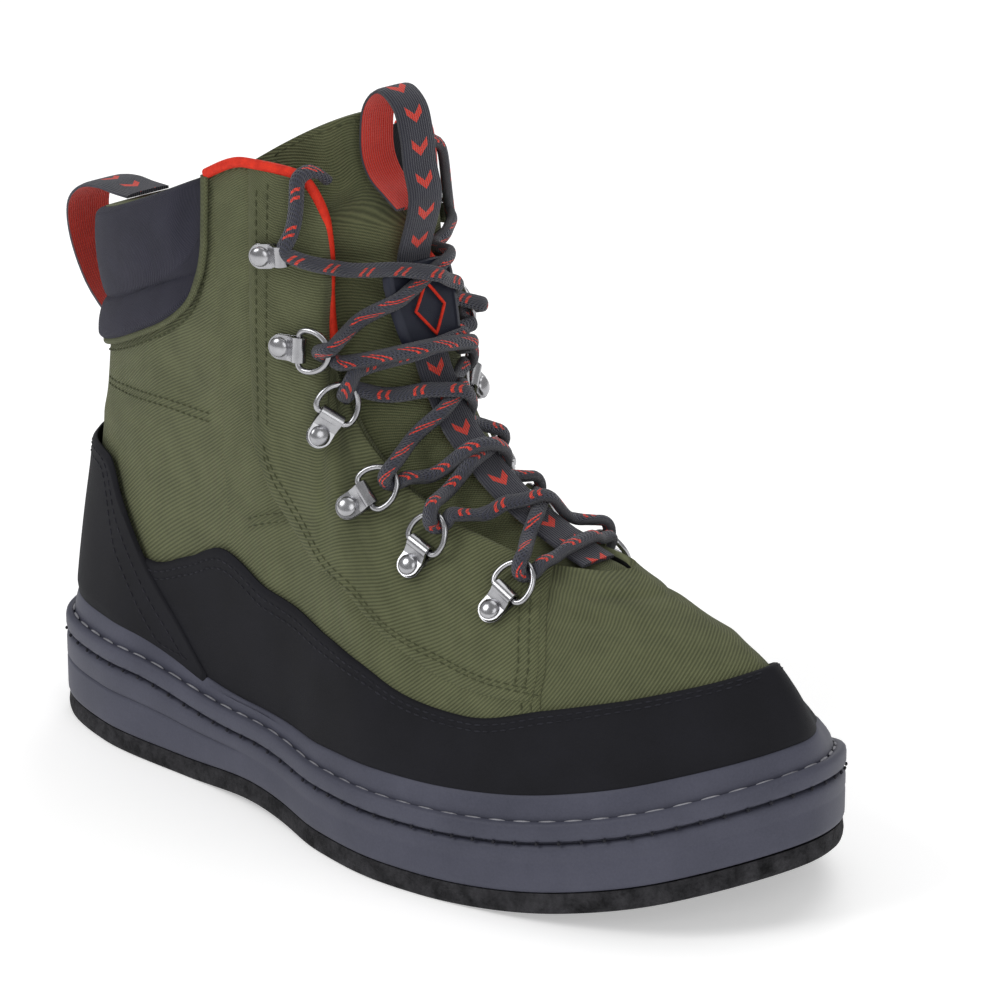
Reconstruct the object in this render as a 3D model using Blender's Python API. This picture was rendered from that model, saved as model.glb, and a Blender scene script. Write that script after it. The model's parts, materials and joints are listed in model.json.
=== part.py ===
"""Right wading boot: felt outsole, rubber midsole and welt, hollow twill upper, tongue, straps, clips and lace."""
import bmesh
import bpy
import numpy as np
from mathutils import Vector
from mathutils.bvhtree import BVHTree

for old in list(bpy.data.objects):
    bpy.data.objects.remove(old)

# Shape sizes are in millimetres from the felt's back edge: x to the toe, y to the inner side, z up.
HEEL_CENTRE = 45.0
LENGTH = 310.0
FELT = 7.0
GAP = 0.3
TOE_SPRING, SPRING_FROM = 20.0, 0.68
ARCH_LIFT, ARCH_AT, ARCH_HALF = 2.4, 0.40, 0.12
INSET = 6.5
WALL, COLLAR_PAD = 2.4, 3.2
WELT_HEIGHT = 14.0
OVERLAY_GAP, OVERLAY = 0.7, 1.5

# along, outer half width, inner half width
SOLE_EDGE = [
    (12, 30, 31), (45, 43, 43.5), (100, 43.5, 43.5), (140, 47.5, 48), (165, 53, 55),
    (192, 55, 68.5), (228, 48.5, 75), (262, 37, 71), (290, 18.5, 59)]
TOE_TIP = (310, 22)
# along, top of the midsole above the felt
MIDSOLE = [(0, 23), (60, 23), (120, 15), (170, 15.5), (230, 16.5), (310, 18)]
# u, top line x, half width, height, then how far the side swells low (out, up) and high (out, down)
TOP_LINE = [
    (0.00, 21, 0, 178, -1, 38, -7, 42),
    (0.07, 27, 19, 180, -1, 38, -7, 44),
    (0.15, 45, 31, 186, 0, 40, -5, 46),
    (0.25, 75, 39, 198, 0, 42, -2, 48),
    (0.34, 100, 41, 209, 0, 44, 0, 50),
    (0.40, 119, 37.4, 217, 1, 46, 2, 55),
    (0.45, 134.6, 27.6, 214.3, 2, 46, 3, 60),
    (0.49, 141.1, 22.7, 200.6, 3, 44, 4, 50),
    (0.53, 141.3, 21, 183.2, 3, 42, 5, 42),
    (0.58, 144.7, 22, 160.9, 4, 38, 5, 34),
    (0.64, 155, 21.6, 137.5, 4, 34, 7, 30),
    (0.71, 173, 18.1, 120.5, 4, 32, 8, 22),
    (0.79, 197.3, 14.8, 110.2, 4, 32, 10, 16),
    (0.88, 225.1, 11.8, 103.6, 4, 34, 16, 14),
    (0.95, 240.9, 6.5, 103.5, 4, 38, 26, 12),
    (1.00, 246, 0, 104, 3, 42, 34, 13)]
# along, sideways place of the last's centre line
CENTRE = [(0, 0), (105, 0), (145, -2.5), (185, -3), (215, 2), (246, 8), (310, 16)]
# how much lower, flatter and slimmer the inner side of the instep is
INNER_UP, INNER_OUT, INNER_IN = 0.3, 0.6, 4.0
# u, height share of the rand's top edge
RAND_TOP = [(0, .27), (.25, .27), (.30, .31), (.35, .35), (.42, .31), (.51, .315),
            (.61, .335), (.71, .335), (.80, .38), (.87, .41), (.94, .417), (1, .417)]
COUNTER_TOP = [(0, .50), (.10, .48), (.165, .46), (.20, .38), (.25, .25), (.29, .17)]
CUFF_LOW = [(0, .683), (.10, .69), (.28, .735), (.35, .77)]
STAY_LOW = [(.41, .60), (.44, .50), (.51, .45), (.60, .48), (.69, .53), (.78, .62), (.86, .76)]
# clip u, v and ring u, v; the first clip is an open hook
CLIPS = [
    (.420, .850, .445, .867), (.440, .717, .490, .760), (.490, .620, .560, .770),
    (.610, .683, .665, .840), (.710, .715, .750, .865), (.795, .670, .835, .810)]
CLIP_WIDTH, CLIP_SHEET, CLIP_BACK = 8.0, 1.0, 11.0
WIRE, RING_HALF, RING_DEPTH = 1.0, 6.0, 11.0
# share along the throat edge, rise of the tongue's middle over the edges
TONGUE_BULGE = [(.47, 14), (.53, 17), (.60, 17), (.70, 15), (.80, 8), (.90, 0), (.97, -4)]
TONGUE_THICK = 5.0
STRAP_HALF, STRAP_THICK = 6.8, 1.4
LACE = 2.2

COLUMNS = [0, .035, .07, .11, .15, .19, .23, .27, .31, .35, .38, .41, .44, .47, .50, .53, .56, .59,
           .62, .65, .68, .71, .74, .77, .80, .83, .86, .89, .92, .945, .965, .985, 1]
ROWS = [0, .06, .13, .21, .30, .40, .50, .60, .70, .79, .87, .94, 1]


def table(at, rows):
    """Monotone smooth reading of a table whose first column is the place."""
    rows = np.array(rows, float)
    xs = rows[:, 0]
    at = min(max(float(at), xs[0]), xs[-1])
    h = np.diff(xs)
    i = int(np.clip(np.searchsorted(xs, at, side="right") - 1, 0, len(h) - 1))
    t = (at - xs[i]) / h[i]
    out = []
    for c in range(1, rows.shape[1]):
        y = rows[:, c]
        d = np.diff(y) / h
        m = np.zeros(len(y))
        m[0], m[-1] = d[0], d[-1]
        for k in (i, i + 1):
            if 0 < k < len(y) - 1:
                m[k] = 0.0
                if d[k - 1] * d[k] > 0:
                    a, b = 2 * h[k] + h[k - 1], h[k] + 2 * h[k - 1]
                    m[k] = (a + b) / (a / d[k - 1] + b / d[k])
        out.append((2 * t**3 - 3 * t**2 + 1) * y[i] + (t**3 - 2 * t**2 + t) * h[i] * m[i]
                   + (-2 * t**3 + 3 * t**2) * y[i + 1] + (t**3 - t**2) * h[i] * m[i + 1])
    return out


def spline(points, steps, closed=False):
    """Centripetal Catmull-Rom curve through the points."""
    p = np.array(points, float)
    n = len(p)
    out = []
    for i in range(n if closed else n - 1):
        if closed:
            q = [p[i - 1], p[i], p[(i + 1) % n], p[(i + 2) % n]]
        else:
            first = p[i - 1] if i else 2 * p[0] - p[1]
            last = p[i + 2] if i + 2 < n else 2 * p[-1] - p[-2]
            q = [first, p[i], p[i + 1], last]
        t = [0.0]
        for k in range(3):
            t.append(t[-1] + max(np.linalg.norm(q[k + 1] - q[k]), 1e-6) ** 0.5)
        for s in np.linspace(t[1], t[2], steps, endpoint=False):
            a = [(t[k + 1] - s) / (t[k + 1] - t[k]) * q[k] + (s - t[k]) / (t[k + 1] - t[k]) * q[k + 1]
                 for k in range(3)]
            b = [(t[k + 2] - s) / (t[k + 2] - t[k]) * a[k] + (s - t[k]) / (t[k + 2] - t[k]) * a[k + 1]
                 for k in range(2)]
            out.append((t[2] - s) / (t[2] - t[1]) * b[0] + (s - t[1]) / (t[2] - t[1]) * b[1])
    if not closed:
        out.append(p[-1])
    return np.array(out)


def shares(points):
    steps = np.linalg.norm(np.diff(points, axis=0), axis=1)
    run = np.concatenate([[0], np.cumsum(steps)])
    return run / run[-1]


LOOP = spline([(0, 0)] + [(a, -o) for a, o, i in SOLE_EDGE] + [TOE_TIP]
              + [(a, i) for a, o, i in SOLE_EDGE[::-1]], 24, closed=True)
HALF = 24 * (len(SOLE_EDGE) + 1)
OUTER_SIDE = LOOP[:HALF + 1]
INNER_SIDE = np.vstack([LOOP[HALF:], LOOP[:1]])[::-1]
OUTER_SHARE, INNER_SHARE = shares(OUTER_SIDE), shares(INNER_SIDE)


def edge(w):
    """Sole edge: w 0 to 1 from heel to toe on the outer side, 1 to 2 back on the inner side."""
    w = w % 2
    side, run, u = (OUTER_SIDE, OUTER_SHARE, w) if w <= 1 else (INNER_SIDE, INNER_SHARE, 2 - w)
    return np.array([np.interp(u, run, side[:, 0]), np.interp(u, run, side[:, 1])])


def edge_normal(w):
    d = edge(w + .006) - edge(w - .006)
    n = np.array([d[1], -d[0]])
    return n / np.linalg.norm(n)


def ground(x):
    rise = max(0.0, (x / LENGTH - SPRING_FROM) / (1 - SPRING_FROM))
    arch = abs(x / LENGTH - ARCH_AT) / ARCH_HALF
    return TOE_SPRING * rise**2 + (ARCH_LIFT * np.cos(arch * np.pi / 2) ** 2 if arch < 1 else 0.0)


def seat(x):
    return ground(x) + FELT + table(x, MIDSOLE)[0]


def sole_point(w, inset, height):
    p = edge(w) - edge_normal(w) * inset
    return np.array([p[0], p[1], height(p[0])])


def shell_curve(w, v):
    w = w % 2
    u, side = (w, -1) if w <= 1 else (2 - w, 1)
    tx, ty, tz, low_out, low_up, high_out, high_down = table(u, TOP_LINE)
    inner = step(u, .48, .64) * (1 - step(u, .93, 1)) if side > 0 else 0.0
    low_out, low_up = low_out - INNER_IN * inner, low_up * (1 - INNER_UP * inner)
    high_out = high_out * (1 - INNER_OUT * inner)
    n = edge_normal(w)
    e = edge(w)
    f = e - n * INSET
    foot = np.array([f[0], f[1], seat(e[0]) + 0.5])
    top = np.array([tx, side * ty + table(tx, CENTRE)[0], tz])
    out = np.array([n[0], n[1], 0])
    up = np.array([0, 0, 1.0])
    b, c = foot + out * low_out + up * low_up, top + out * high_out - up * high_down
    return (1 - v)**3 * foot + 3 * v * (1 - v)**2 * b + 3 * v * v * (1 - v) * c + v**3 * top


def shell_normal(w, v):
    e = .004
    du = shell_curve(w + e, v) - shell_curve(w - e, v)
    dv = shell_curve(w, min(1, v + e)) - shell_curve(w, max(0, v - e))
    n = np.cross(du, dv)
    return n / np.linalg.norm(n)


def shell(w, v, off=0.0):
    return shell_curve(w, v) + (shell_normal(w, v) * off if off else 0)


def step(x, a, b):
    t = min(max((x - a) / (b - a), 0), 1)
    return t * t * (3 - 2 * t)


def wall(w, v):
    u = min(w % 2, 2 - w % 2)
    return WALL + COLLAR_PAD * step(v, .62, .9) * (1 - step(u, .30, .44))


def height_share(w, height):
    """Share of the side profile that lies this far over the seat."""
    base = seat(edge(w)[0])
    grid = np.linspace(0, .5, 51)
    return float(np.interp(base + height, [shell_curve(w, v)[2] for v in grid], grid))


def to_world(p):
    return Vector(((p[0] - HEEL_CENTRE) / 1000, p[1] / 1000, p[2] / 1000))


def material(name, colour, rough, metal=0.0):
    m = bpy.data.materials.new(name)
    m.use_nodes = True
    b = m.node_tree.nodes["Principled BSDF"]
    b.inputs["Base Color"].default_value = (*colour, 1)
    b.inputs["Roughness"].default_value = rough
    b.inputs["Metallic"].default_value = metal
    m.diffuse_color = (*colour, 1)
    return m


MATERIALS = {
    "felt": material("charcoal_felt", (.020, .020, .021), .98),
    "rubber": material("grey_blue_rubber", (.072, .080, .108), .62),
    "twill": material("olive_twill", (.112, .122, .052), .88),
    "nubuck": material("black_nubuck", (.011, .011, .015), .80),
    "navy": material("navy_mesh", (.030, .034, .056), .85),
    "webbing": material("navy_webbing", (.022, .026, .046), .82),
    "steel": material("polished_steel", (.60, .61, .63), .25, 1.0),
    "lace": material("navy_red_cord", (.026, .028, .046), .75),
    "foam": material("insole_foam", (.045, .048, .055), .90)}


def add(name, points, faces, kind):
    mesh = bpy.data.meshes.new(name)
    bm = bmesh.new()
    verts = [bm.verts.new(to_world(p)) for p in points]
    for f in faces:
        bm.faces.new([verts[k] for k in f])
    bm.normal_update()
    bmesh.ops.triangulate(bm, faces=bm.faces)
    bmesh.ops.recalc_face_normals(bm, faces=bm.faces)
    bm.to_mesh(mesh)
    bm.free()
    obj = bpy.data.objects.new(name, mesh)
    mesh.materials.append(MATERIALS[kind])
    bpy.context.scene.collection.objects.link(obj)
    return obj


def rings_solid(name, rings, kind, cap="fan", loop=False):
    """Solid from equal rings of points; the rings' first and last are capped, or joined when loop is set."""
    n = len(rings[0])
    points = [p for r in rings for p in r]
    faces = []
    last = len(rings) if loop else len(rings) - 1
    for i in range(last):
        a, b = i * n, (i + 1) % len(rings) * n
        for j in range(n):
            k = (j + 1) % n
            faces.append((a + j, a + k, b + k, b + j))
    if not loop:
        for base in (0, (len(rings) - 1) * n):
            if cap == "across":
                faces.append((base, base + 1, base + n - 1))
                for j in range(1, n // 2 - 1):
                    faces.append((base + j, base + j + 1, base + n - j - 1, base + n - j))
                faces.append((base + n // 2 - 1, base + n // 2, base + n // 2 + 1))
            else:
                faces.append(tuple(base + j for j in range(n)))
    return add(name, points, faces, kind)


def sheet_solid(name, outer, inner, kind, closed=False):
    """Solid between two equal grids of points, grid[column][row]."""
    cols, rows = len(outer), len(outer[0])
    points = [p for g in (outer, inner) for c in g for p in c]
    place = lambda g, i, j: g * cols * rows + (i % cols) * rows + j
    faces = []
    for i in range(cols if closed else cols - 1):
        for j in range(rows - 1):
            for g in (0, 1):
                faces.append((place(g, i, j), place(g, i + 1, j), place(g, i + 1, j + 1), place(g, i, j + 1)))
        for j in (0, rows - 1):
            faces.append((place(0, i, j), place(0, i + 1, j), place(1, i + 1, j), place(1, i, j)))
    if not closed:
        for i in (0, cols - 1):
            for j in range(rows - 1):
                faces.append((place(0, i, j), place(0, i, j + 1), place(1, i, j + 1), place(1, i, j)))
    return add(name, points, faces, kind)


AROUND = COLUMNS + [2 - u for u in COLUMNS[-2:0:-1]]

# Sole stack
felt_levels = [(1.0, lambda x: ground(x)), (0.4, lambda x: ground(x) + 1.0),
               (0.6, lambda x: ground(x) + FELT)]
rings_solid("felt_outsole", [[sole_point(w, i, h) for w in AROUND] for i, h in felt_levels],
            "felt", cap="across")
mid_levels = [(0.6, lambda x: ground(x) + FELT + GAP), (0.0, lambda x: ground(x) + FELT + 2.0),
              (0.4, lambda x: seat(x) - 3.0), (1.2, lambda x: seat(x) - 0.9), (2.2, seat)]
rings_solid("midsole", [[sole_point(w, i, h) for w in AROUND] for i, h in mid_levels],
            "rubber", cap="across")


def welt_section(w):
    x = edge(w)[0]
    s = seat(x)
    tall = WELT_HEIGHT - 3.0 * np.exp(-((x - 120) / 40) ** 2)
    low, high = height_share(w, GAP + 1.2), height_share(w, tall)
    flat = lambda inset, up: sole_point(w, inset, lambda q: s + up)
    under = shell(w, low, GAP + .3)
    under[2] = s + GAP
    face = shell(w, height_share(w, 7.5), GAP + 3.4)
    return [under, flat(1.4, GAP), flat(0.0, 1.6), flat(0.0, 5.4), flat(1.3, 6.6),
            shell(w, height_share(w, 5.6), GAP + 3.6), face, shell(w, high, GAP + 1.7),
            shell(w, high, GAP + .3), shell(w, height_share(w, 7.0), GAP + .3)]


rings_solid("welt", [welt_section(w) for w in AROUND], "rubber", loop=True)
insole_levels = [(11.0, lambda x: seat(x) + GAP), (10.6, lambda x: seat(x) + 3.6), (11.6, lambda x: seat(x) + 4.6)]
rings_solid("insole", [[sole_point(w, i, h) for w in AROUND] for i, h in insole_levels], "foam", cap="across")

# Upper and what is sewn on it
upper = sheet_solid("upper", [[shell(w, v) for v in ROWS] for w in AROUND],
                    [[shell(w, v, -wall(w, v)) for v in ROWS] for w in AROUND], "twill", closed=True)


def overlay(name, ws, low, high, rows, kind, thick=lambda w, t: OVERLAY, gap=OVERLAY_GAP, closed=False):
    outer, inner = [], []
    for w in ws:
        a, b = low(w), high(w)
        vs = [a + (b - a) * t for t in np.linspace(0, 1, rows)]
        outer.append([shell(w, v, gap + thick(w, t)) for v, t in zip(vs, np.linspace(0, 1, rows))])
        inner.append([shell(w, v, gap) for v in vs])
    return sheet_solid(name, outer, inner, kind, closed)


def fold(w):
    return min(w % 2, 2 - w % 2)


def over_welt(w):
    x = edge(w)[0]
    return height_share(w, WELT_HEIGHT - 3.0 * np.exp(-((x - 120) / 40) ** 2) + 1.2)


toe_side = [w for w in AROUND if fold(w) > .26]
overlay("rand", toe_side, lambda w: .245 if fold(w) < .28 else over_welt(w), lambda w: table(fold(w), RAND_TOP)[0], 5, "nubuck")
back = [w for w in COLUMNS if w <= .28]
overlay("heel_counter", [-w for w in back[:0:-1]] + back, over_welt,
        lambda w: table(fold(w % 2), COUNTER_TOP)[0], 5, "nubuck")
cuff = [w for w in COLUMNS if w <= .35]
rolls = lambda w, t: 1.2 + 3.4 * abs(np.sin(np.pi * min(t / .46, 1) if t < .46 else np.pi * (t - .46) / .60))
overlay("collar_cuff", [-w for w in cuff[:0:-1]] + cuff, lambda w: table(fold(w % 2), CUFF_LOW)[0],
        lambda w: .995, 9, "navy", thick=rolls)
stay = [w for w in COLUMNS if .40 < w < .87]
stays = []
for side, ws in (("outer", stay), ("inner", [2 - w for w in stay])):
    stays.append(overlay("eyestay_" + side, ws, lambda w: table(fold(w), STAY_LOW)[0],
                         lambda w: .995, 6, "twill"))

# Tongue: a padded sheet under the throat edges
THROAT = [.50, .53, .56, .59, .62, .65, .69, .73, .77, .81, .85, .89, .93, .96]


def tongue_row(u):
    left, right = shell(u, 1, -wall(u, 1) - 1.4), shell(2 - u, 1, -wall(u, 1) - 1.4)
    deep = .12 if u < .9 else .08
    under = [shell(w, 1 - deep, -wall(w, 1 - deep) - 1.9) for w in (u, 2 - u)]
    along = shell_curve(min(u + .02, 1), 1) - shell_curve(u - .02, 1)
    ahead = np.array([-along[2], 0, along[0]])
    ahead = ahead / np.linalg.norm(ahead)
    ahead = ahead if ahead[0] + ahead[2] > 0 else -ahead
    middle = (left + right) / 2 + ahead * (table(u, TONGUE_BULGE)[0] + 2)
    return spline([under[0], left, middle, right, under[1]], 3)


tongue_rows = [tongue_row(u) for u in THROAT]
for x, z, half, drop, sink in ((142, 209.5, 22, 17, 9), (138.8, 221, 25, 18, 9), (138.5, 231, 26, 17, 10)):
    arc = [(x - drop * abs(t) ** 1.6, half * t - 3, z - sink * t * t) for t in np.linspace(-1, 1, 13)]
    tongue_rows.insert(0, np.array(arc))
tongue_grid = np.array(tongue_rows)


def grid_normals(g):
    a = np.gradient(g, axis=0)
    b = np.gradient(g, axis=1)
    n = np.cross(a, b)
    n /= np.linalg.norm(n, axis=2)[..., None]
    return n if n[len(g) // 2, g.shape[1] // 2, 0] > 0 else -n


tongue_out = grid_normals(tongue_grid)
taper = np.array([0.45, .6, .8] + [1.0] * (len(tongue_rows) - 3))[:, None, None]
tongue = sheet_solid("tongue", tongue_grid, tongue_grid - tongue_out * TONGUE_THICK * taper, "twill")

# Webbing: strap down the tongue with a pull loop, and the heel tab
MIDDLE = tongue_grid.shape[1] // 2


def band(name, path, out, half, kind, thick=STRAP_THICK):
    """Flat webbing along a path in the side plane; out is its face direction at each point."""
    rings = []
    for p, n in zip(path, out):
        across = np.array([0, half, 0])
        rings.append([p - across, p + across, p + across + n * thick, p - across + n * thick])
    return rings_solid(name, rings, kind)


def path_normals(path):
    t = np.gradient(path, axis=0)
    n = np.stack([-t[:, 2], np.zeros(len(t)), t[:, 0]], axis=1)
    return n / np.linalg.norm(n, axis=1)[:, None]


spine = tongue_grid[:, MIDDLE]
spine_out = tongue_out[:, MIDDLE] * [1, 0, 1]
spine_out /= np.linalg.norm(spine_out, axis=1)[:, None]
run = [spine[k] + spine_out[k] * 1.2 for k in range(4, 15)]
front = [np.array(p) for p in [(158, -3, 204.5), (152.5, -3, 207.8), (146, -3, 212), (142.6, -3, 217.5), (141.8, -3, 225),
                               (143.6, -3, 235), (149.5, -3, 240.3), (156.3, -3, 236.5), (159.4, -3, 228),
                               (161, -3, 218), (163.3, -3, 208)]]
strap_points = front + run
strap_path = spline(strap_points, 2)
strap = band("tongue_strap", strap_path, path_normals(strap_path), STRAP_HALF, "webbing")

back_heights = [shell_curve(0, v)[2] for v in np.linspace(.4, 1, 61)]
tab_feet = [shell(0, float(np.interp(z, back_heights, np.linspace(.4, 1, 61))), .9) for z in (115, 122, 129)]
tab_points = tab_feet + [(2, 0, 146), (-6, 0, 162), (-6, 0, 172), (0, 0, 178), (9, 0, 179.9), (17, 0, 179.6),
                         (25, 0, 179.6)]
tab_path = spline(tab_points, 3)
band("heel_tab", tab_path, path_normals(tab_path), 9.0, "webbing")


# Clips folded round their D-rings
def unit(v):
    return v / np.linalg.norm(v)


def tree(objects):
    """Nearest-point tree of the objects' faces, in shape millimetres."""
    points, faces = [], []
    for o in objects:
        base = len(points)
        points += [Vector((v.co.x * 1000 + HEEL_CENTRE, v.co.y * 1000, v.co.z * 1000))
                   for v in o.data.vertices]
        faces += [tuple(base + k for k in p.vertices) for p in o.data.polygons]
    return BVHTree.FromPolygons(points, faces)


def clip_frame(w, v, rw, rv, ground_tree):
    """Place of the clip's bar with its directions: to the ring, across, off the surface."""
    plate, ring = shell(w, v), shell(rw, rv)
    n = unit(shell_normal((w + rw) / 2, (v + rv) / 2))
    d = ring - plate
    d = unit(d - n * (d @ n))
    across = np.cross(n, d)
    bar = plate + d * 6.5
    low = -50.0
    for a in np.linspace(-CLIP_BACK, 2.2, 7):
        for b in (-CLIP_WIDTH / 2, 0, CLIP_WIDTH / 2):
            start = bar + d * a + across * b + n * 25
            hit = ground_tree.ray_cast(Vector(start), Vector(-n), 60)
            if hit[0] is not None:
                low = max(low, 25 - hit[3] + (0 if a < .5 else -.5))
    return bar + n * (low + R_OUT + .35), d, across, n


turn = lambda r, a: (r * np.cos(np.radians(a)), r * np.sin(np.radians(a)))
R_IN, R_OUT = WIRE + .4, WIRE + .4 + CLIP_SHEET
BACK = CLIP_BACK
clip_section = (
    [(-BACK, -R_OUT)] + [turn(R_OUT, a) for a in range(-90, 151, 40)]
    + [(-4.3, 0), (-BACK, 0), (-BACK, -1.0), (-3.6, -1.0)]
    + [turn(R_IN, a) for a in range(150, -91, -40)] + [(-BACK, -R_IN)])


def clip_solid(name, bar, d, across, n):
    """Sheet-metal clip folded over the ring's bar, of one section drawn out across."""
    sides = [[bar + d * p + n * q + across * half for p, q in clip_section]
             for half in (-CLIP_WIDTH / 2, CLIP_WIDTH / 2)]
    return rings_solid(name, sides, "steel")


ring_path = spline([(0, -5), (0, 5), (1.4, 6.3), (4.6, 6.5), (8, 5.2), (10.4, 2.8), (11.2, 0), (10.4, -2.8),
                    (8, -5.2), (4.6, -6.5), (1.4, -6.3)], 1, closed=True)
RING_TILT = np.radians(8)


def ring_lean(bar, d, across, n):
    """Way the ring lies from its bar: tilted up until its wire clears the facing."""
    tilt = RING_TILT
    while tilt < .7:
        lean = d * np.cos(tilt) + n * np.sin(tilt)
        low = min(leather.find_nearest(Vector(bar + lean * q[0] + across * q[1]))[3] for q in ring_path)
        if low > WIRE + .3:
            break
        tilt += .03
    return lean


def tube(name, path, radius, sides, kind, loop=False, normal=None):
    path = np.array(path)
    ahead = np.roll(path, -1, 0) - np.roll(path, 1, 0) if loop else np.gradient(path, axis=0)
    side = None
    rings = []
    for p, t in zip(path, ahead):
        t = unit(t)
        if side is None:
            side = unit(np.cross(t, [0.3, 0.2, 1.0]))
        side = unit(side - t * (side @ t)) if normal is None else unit(np.cross(normal, t))
        up = np.cross(t, side)
        rings.append([p + radius * (side * np.cos(a) + up * np.sin(a))
                      for a in np.linspace(0, 2 * np.pi, sides, endpoint=False)])
    return rings_solid(name, rings, kind, loop=loop)


turns = {}
hardware = []
leather = tree([upper] + stays)
for k, (cu, cv, ru, rv) in enumerate(CLIPS):
    for side, sign in (("outer", 1), ("inner", -1)):
        w, rw = (cu, ru) if sign > 0 else (2 - cu, 2 - ru)
        bar, d, across, n = clip_frame(w, cv, rw, rv, leather)
        label = ("lace_hook_%s" % side) if k == 0 else "lace_clip_%s_%d" % (side, k)
        hardware.append(clip_solid(label, bar, d, across, n))
        lean = ring_lean(bar, d, across, n)
        if k:
            hardware.append(tube("d_ring_%s_%d" % (side, k),
                                 [bar + lean * q[0] + across * q[1] for q in ring_path],
                                 WIRE, 6, "steel", loop=True, normal=np.cross(lean, across)))
        along = unit(shell_curve(rw + .02 * sign, .95) - shell_curve(rw - .02 * sign, .95))
        turns[side, k] = [bar + lean * (RING_DEPTH + 6.6 if k else 8.4), along, unit(lean), n]

# Lace: one cord that zigzags down to the bottom bar and back, each pass laid clear of all below it
LACE_SIDES = 6


def laid(start, end, faces, obstacles, count, off=LACE):
    """Strand laid from outside on the obstacles between two fixed ends."""
    t = np.linspace(0, 1, count)
    path = np.array([start + (end - start) * k for k in t])
    mean = (start + end) / 2
    foot, n, _, _ = tongue_tree.find_nearest(Vector(mean))
    middle = unit(np.array([abs(n.x), 0.0, abs(n.z)]))
    out = []
    for k in t:
        share = np.sin(np.pi * k) ** .7
        out.append(unit(middle * share + (faces[0] if k < .5 else faces[1]) * (1 - share)))
    out = np.array(out)
    lifts = np.zeros(count)
    for k in range(1, count - 1):
        high = 26.0
        while high > 0:
            p = path[k] + out[k] * (high - .4)
            if obstacles.find_nearest(Vector(p))[3] < off + 1.35:
                break
            high -= .4
        lifts[k] = max(high, 0)
    smooth = lifts.copy()
    for _ in range(3):
        spread = np.convolve(np.pad(smooth, 1, mode="edge"), [.25, .5, .25], "valid")
        spread[0] = spread[-1] = 0
        smooth = np.maximum(spread, lifts)
    smooth[0] = smooth[-1] = 0
    return path + out * smooth[:, None]


tongue_tree = tree([tongue])
solid = [upper, tongue] + stays + hardware
solid_tree = tree(solid)
laid_tubes = []
SPACE = LACE + .55
for spot in turns.values():
    p, along, lean, n = spot
    lift = 14.0
    while lift > -3:
        tries = [p + n * lift + a for a in (along * SPACE, -along * SPACE, lean * 0, -lean * SPACE)]
        if min(solid_tree.find_nearest(Vector(q))[3] for q in tries) < LACE + 1.2:
            break
        lift -= .3
    spot[0] = p + n * (lift + .3)


def place(side, k, lower):
    p, along, lean, n = turns[side, k]
    return p + along * SPACE * (1 if lower else -1)


def strand(one, other):
    start, end = place(*one), place(*other)
    faces = turns[one[0], one[1]][3], turns[other[0], other[1]][3]
    things = solid + laid_tubes + [strap]
    path = laid(start, end, faces, tree(things), 19)
    laid_tubes.append(tube("strand", path, LACE, LACE_SIDES, "lace"))
    return path


first, second = {}, {}
for k in range(5, 0, -1):
    first[k] = strand(("outer", k, False), ("inner", k - 1, True))
    second[k] = strand(("outer", k - 1, True), ("inner", k, False))
bar_path = strand(("outer", 5, True), ("inner", 5, True))


def bend(side, k, downwards):
    """Half turn of the cord just short of the ring."""
    p, along, lean, n = turns[side, k]
    s = 1 if downwards else -1
    return [p + along * SPACE * np.cos(a) * -s - lean * SPACE * np.sin(a) for a in np.radians([45, 90, 135])]


cord = list(second[1])
for k in range(1, 5):
    side = "inner" if k % 2 else "outer"
    cord += bend(side, k, True)
    cord += list(first[k + 1][::-1]) if side == "inner" else list(second[k + 1])
cord += bend("inner", 5, True) + list(bar_path[::-1]) + bend("outer", 5, False)
for k in range(5, 0, -1):
    side = "outer" if k % 2 else "inner"
    cord += list(first[k]) if side == "outer" else list(second[k][::-1])
    if k > 1:
        cord += bend("inner" if side == "outer" else "outer", k - 1, False)
for o in laid_tubes:
    bpy.data.objects.remove(o)
tube("lace", cord, LACE, LACE_SIDES, "lace")
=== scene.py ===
import json
import math

import bmesh
import bpy
import numpy as np
from mathutils import Matrix, Vector
from mathutils.bvhtree import BVHTree

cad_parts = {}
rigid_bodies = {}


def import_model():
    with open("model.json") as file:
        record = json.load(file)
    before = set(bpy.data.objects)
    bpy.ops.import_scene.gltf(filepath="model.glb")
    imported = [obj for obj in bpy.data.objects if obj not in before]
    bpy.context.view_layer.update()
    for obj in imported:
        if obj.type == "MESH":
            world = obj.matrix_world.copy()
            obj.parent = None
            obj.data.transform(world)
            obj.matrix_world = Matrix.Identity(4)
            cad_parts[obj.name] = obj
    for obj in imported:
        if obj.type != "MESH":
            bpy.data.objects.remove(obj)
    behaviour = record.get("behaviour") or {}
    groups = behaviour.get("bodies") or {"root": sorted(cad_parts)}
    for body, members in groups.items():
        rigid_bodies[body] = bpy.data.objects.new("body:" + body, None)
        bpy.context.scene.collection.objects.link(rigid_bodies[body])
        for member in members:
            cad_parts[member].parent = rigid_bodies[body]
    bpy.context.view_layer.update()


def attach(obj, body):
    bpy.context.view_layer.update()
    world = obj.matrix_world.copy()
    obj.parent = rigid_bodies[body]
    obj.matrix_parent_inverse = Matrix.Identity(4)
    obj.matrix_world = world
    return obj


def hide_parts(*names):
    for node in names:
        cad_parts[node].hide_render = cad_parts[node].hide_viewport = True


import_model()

# Sizes are millimetres in the boot's own shape frame: x from the felt's back edge, y to the inner side.
HEEL_CENTRE = 45.0
LENGTH = 310.0
FELT = 7.0
TOE_SPRING, SPRING_FROM = 20.0, 0.68
ARCH_LIFT, ARCH_AT, ARCH_HALF = 2.4, 0.40, 0.12
INSET = 6.5
WALL, COLLAR_PAD = 2.4, 3.2
WELT_HEIGHT = 14.0

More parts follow.
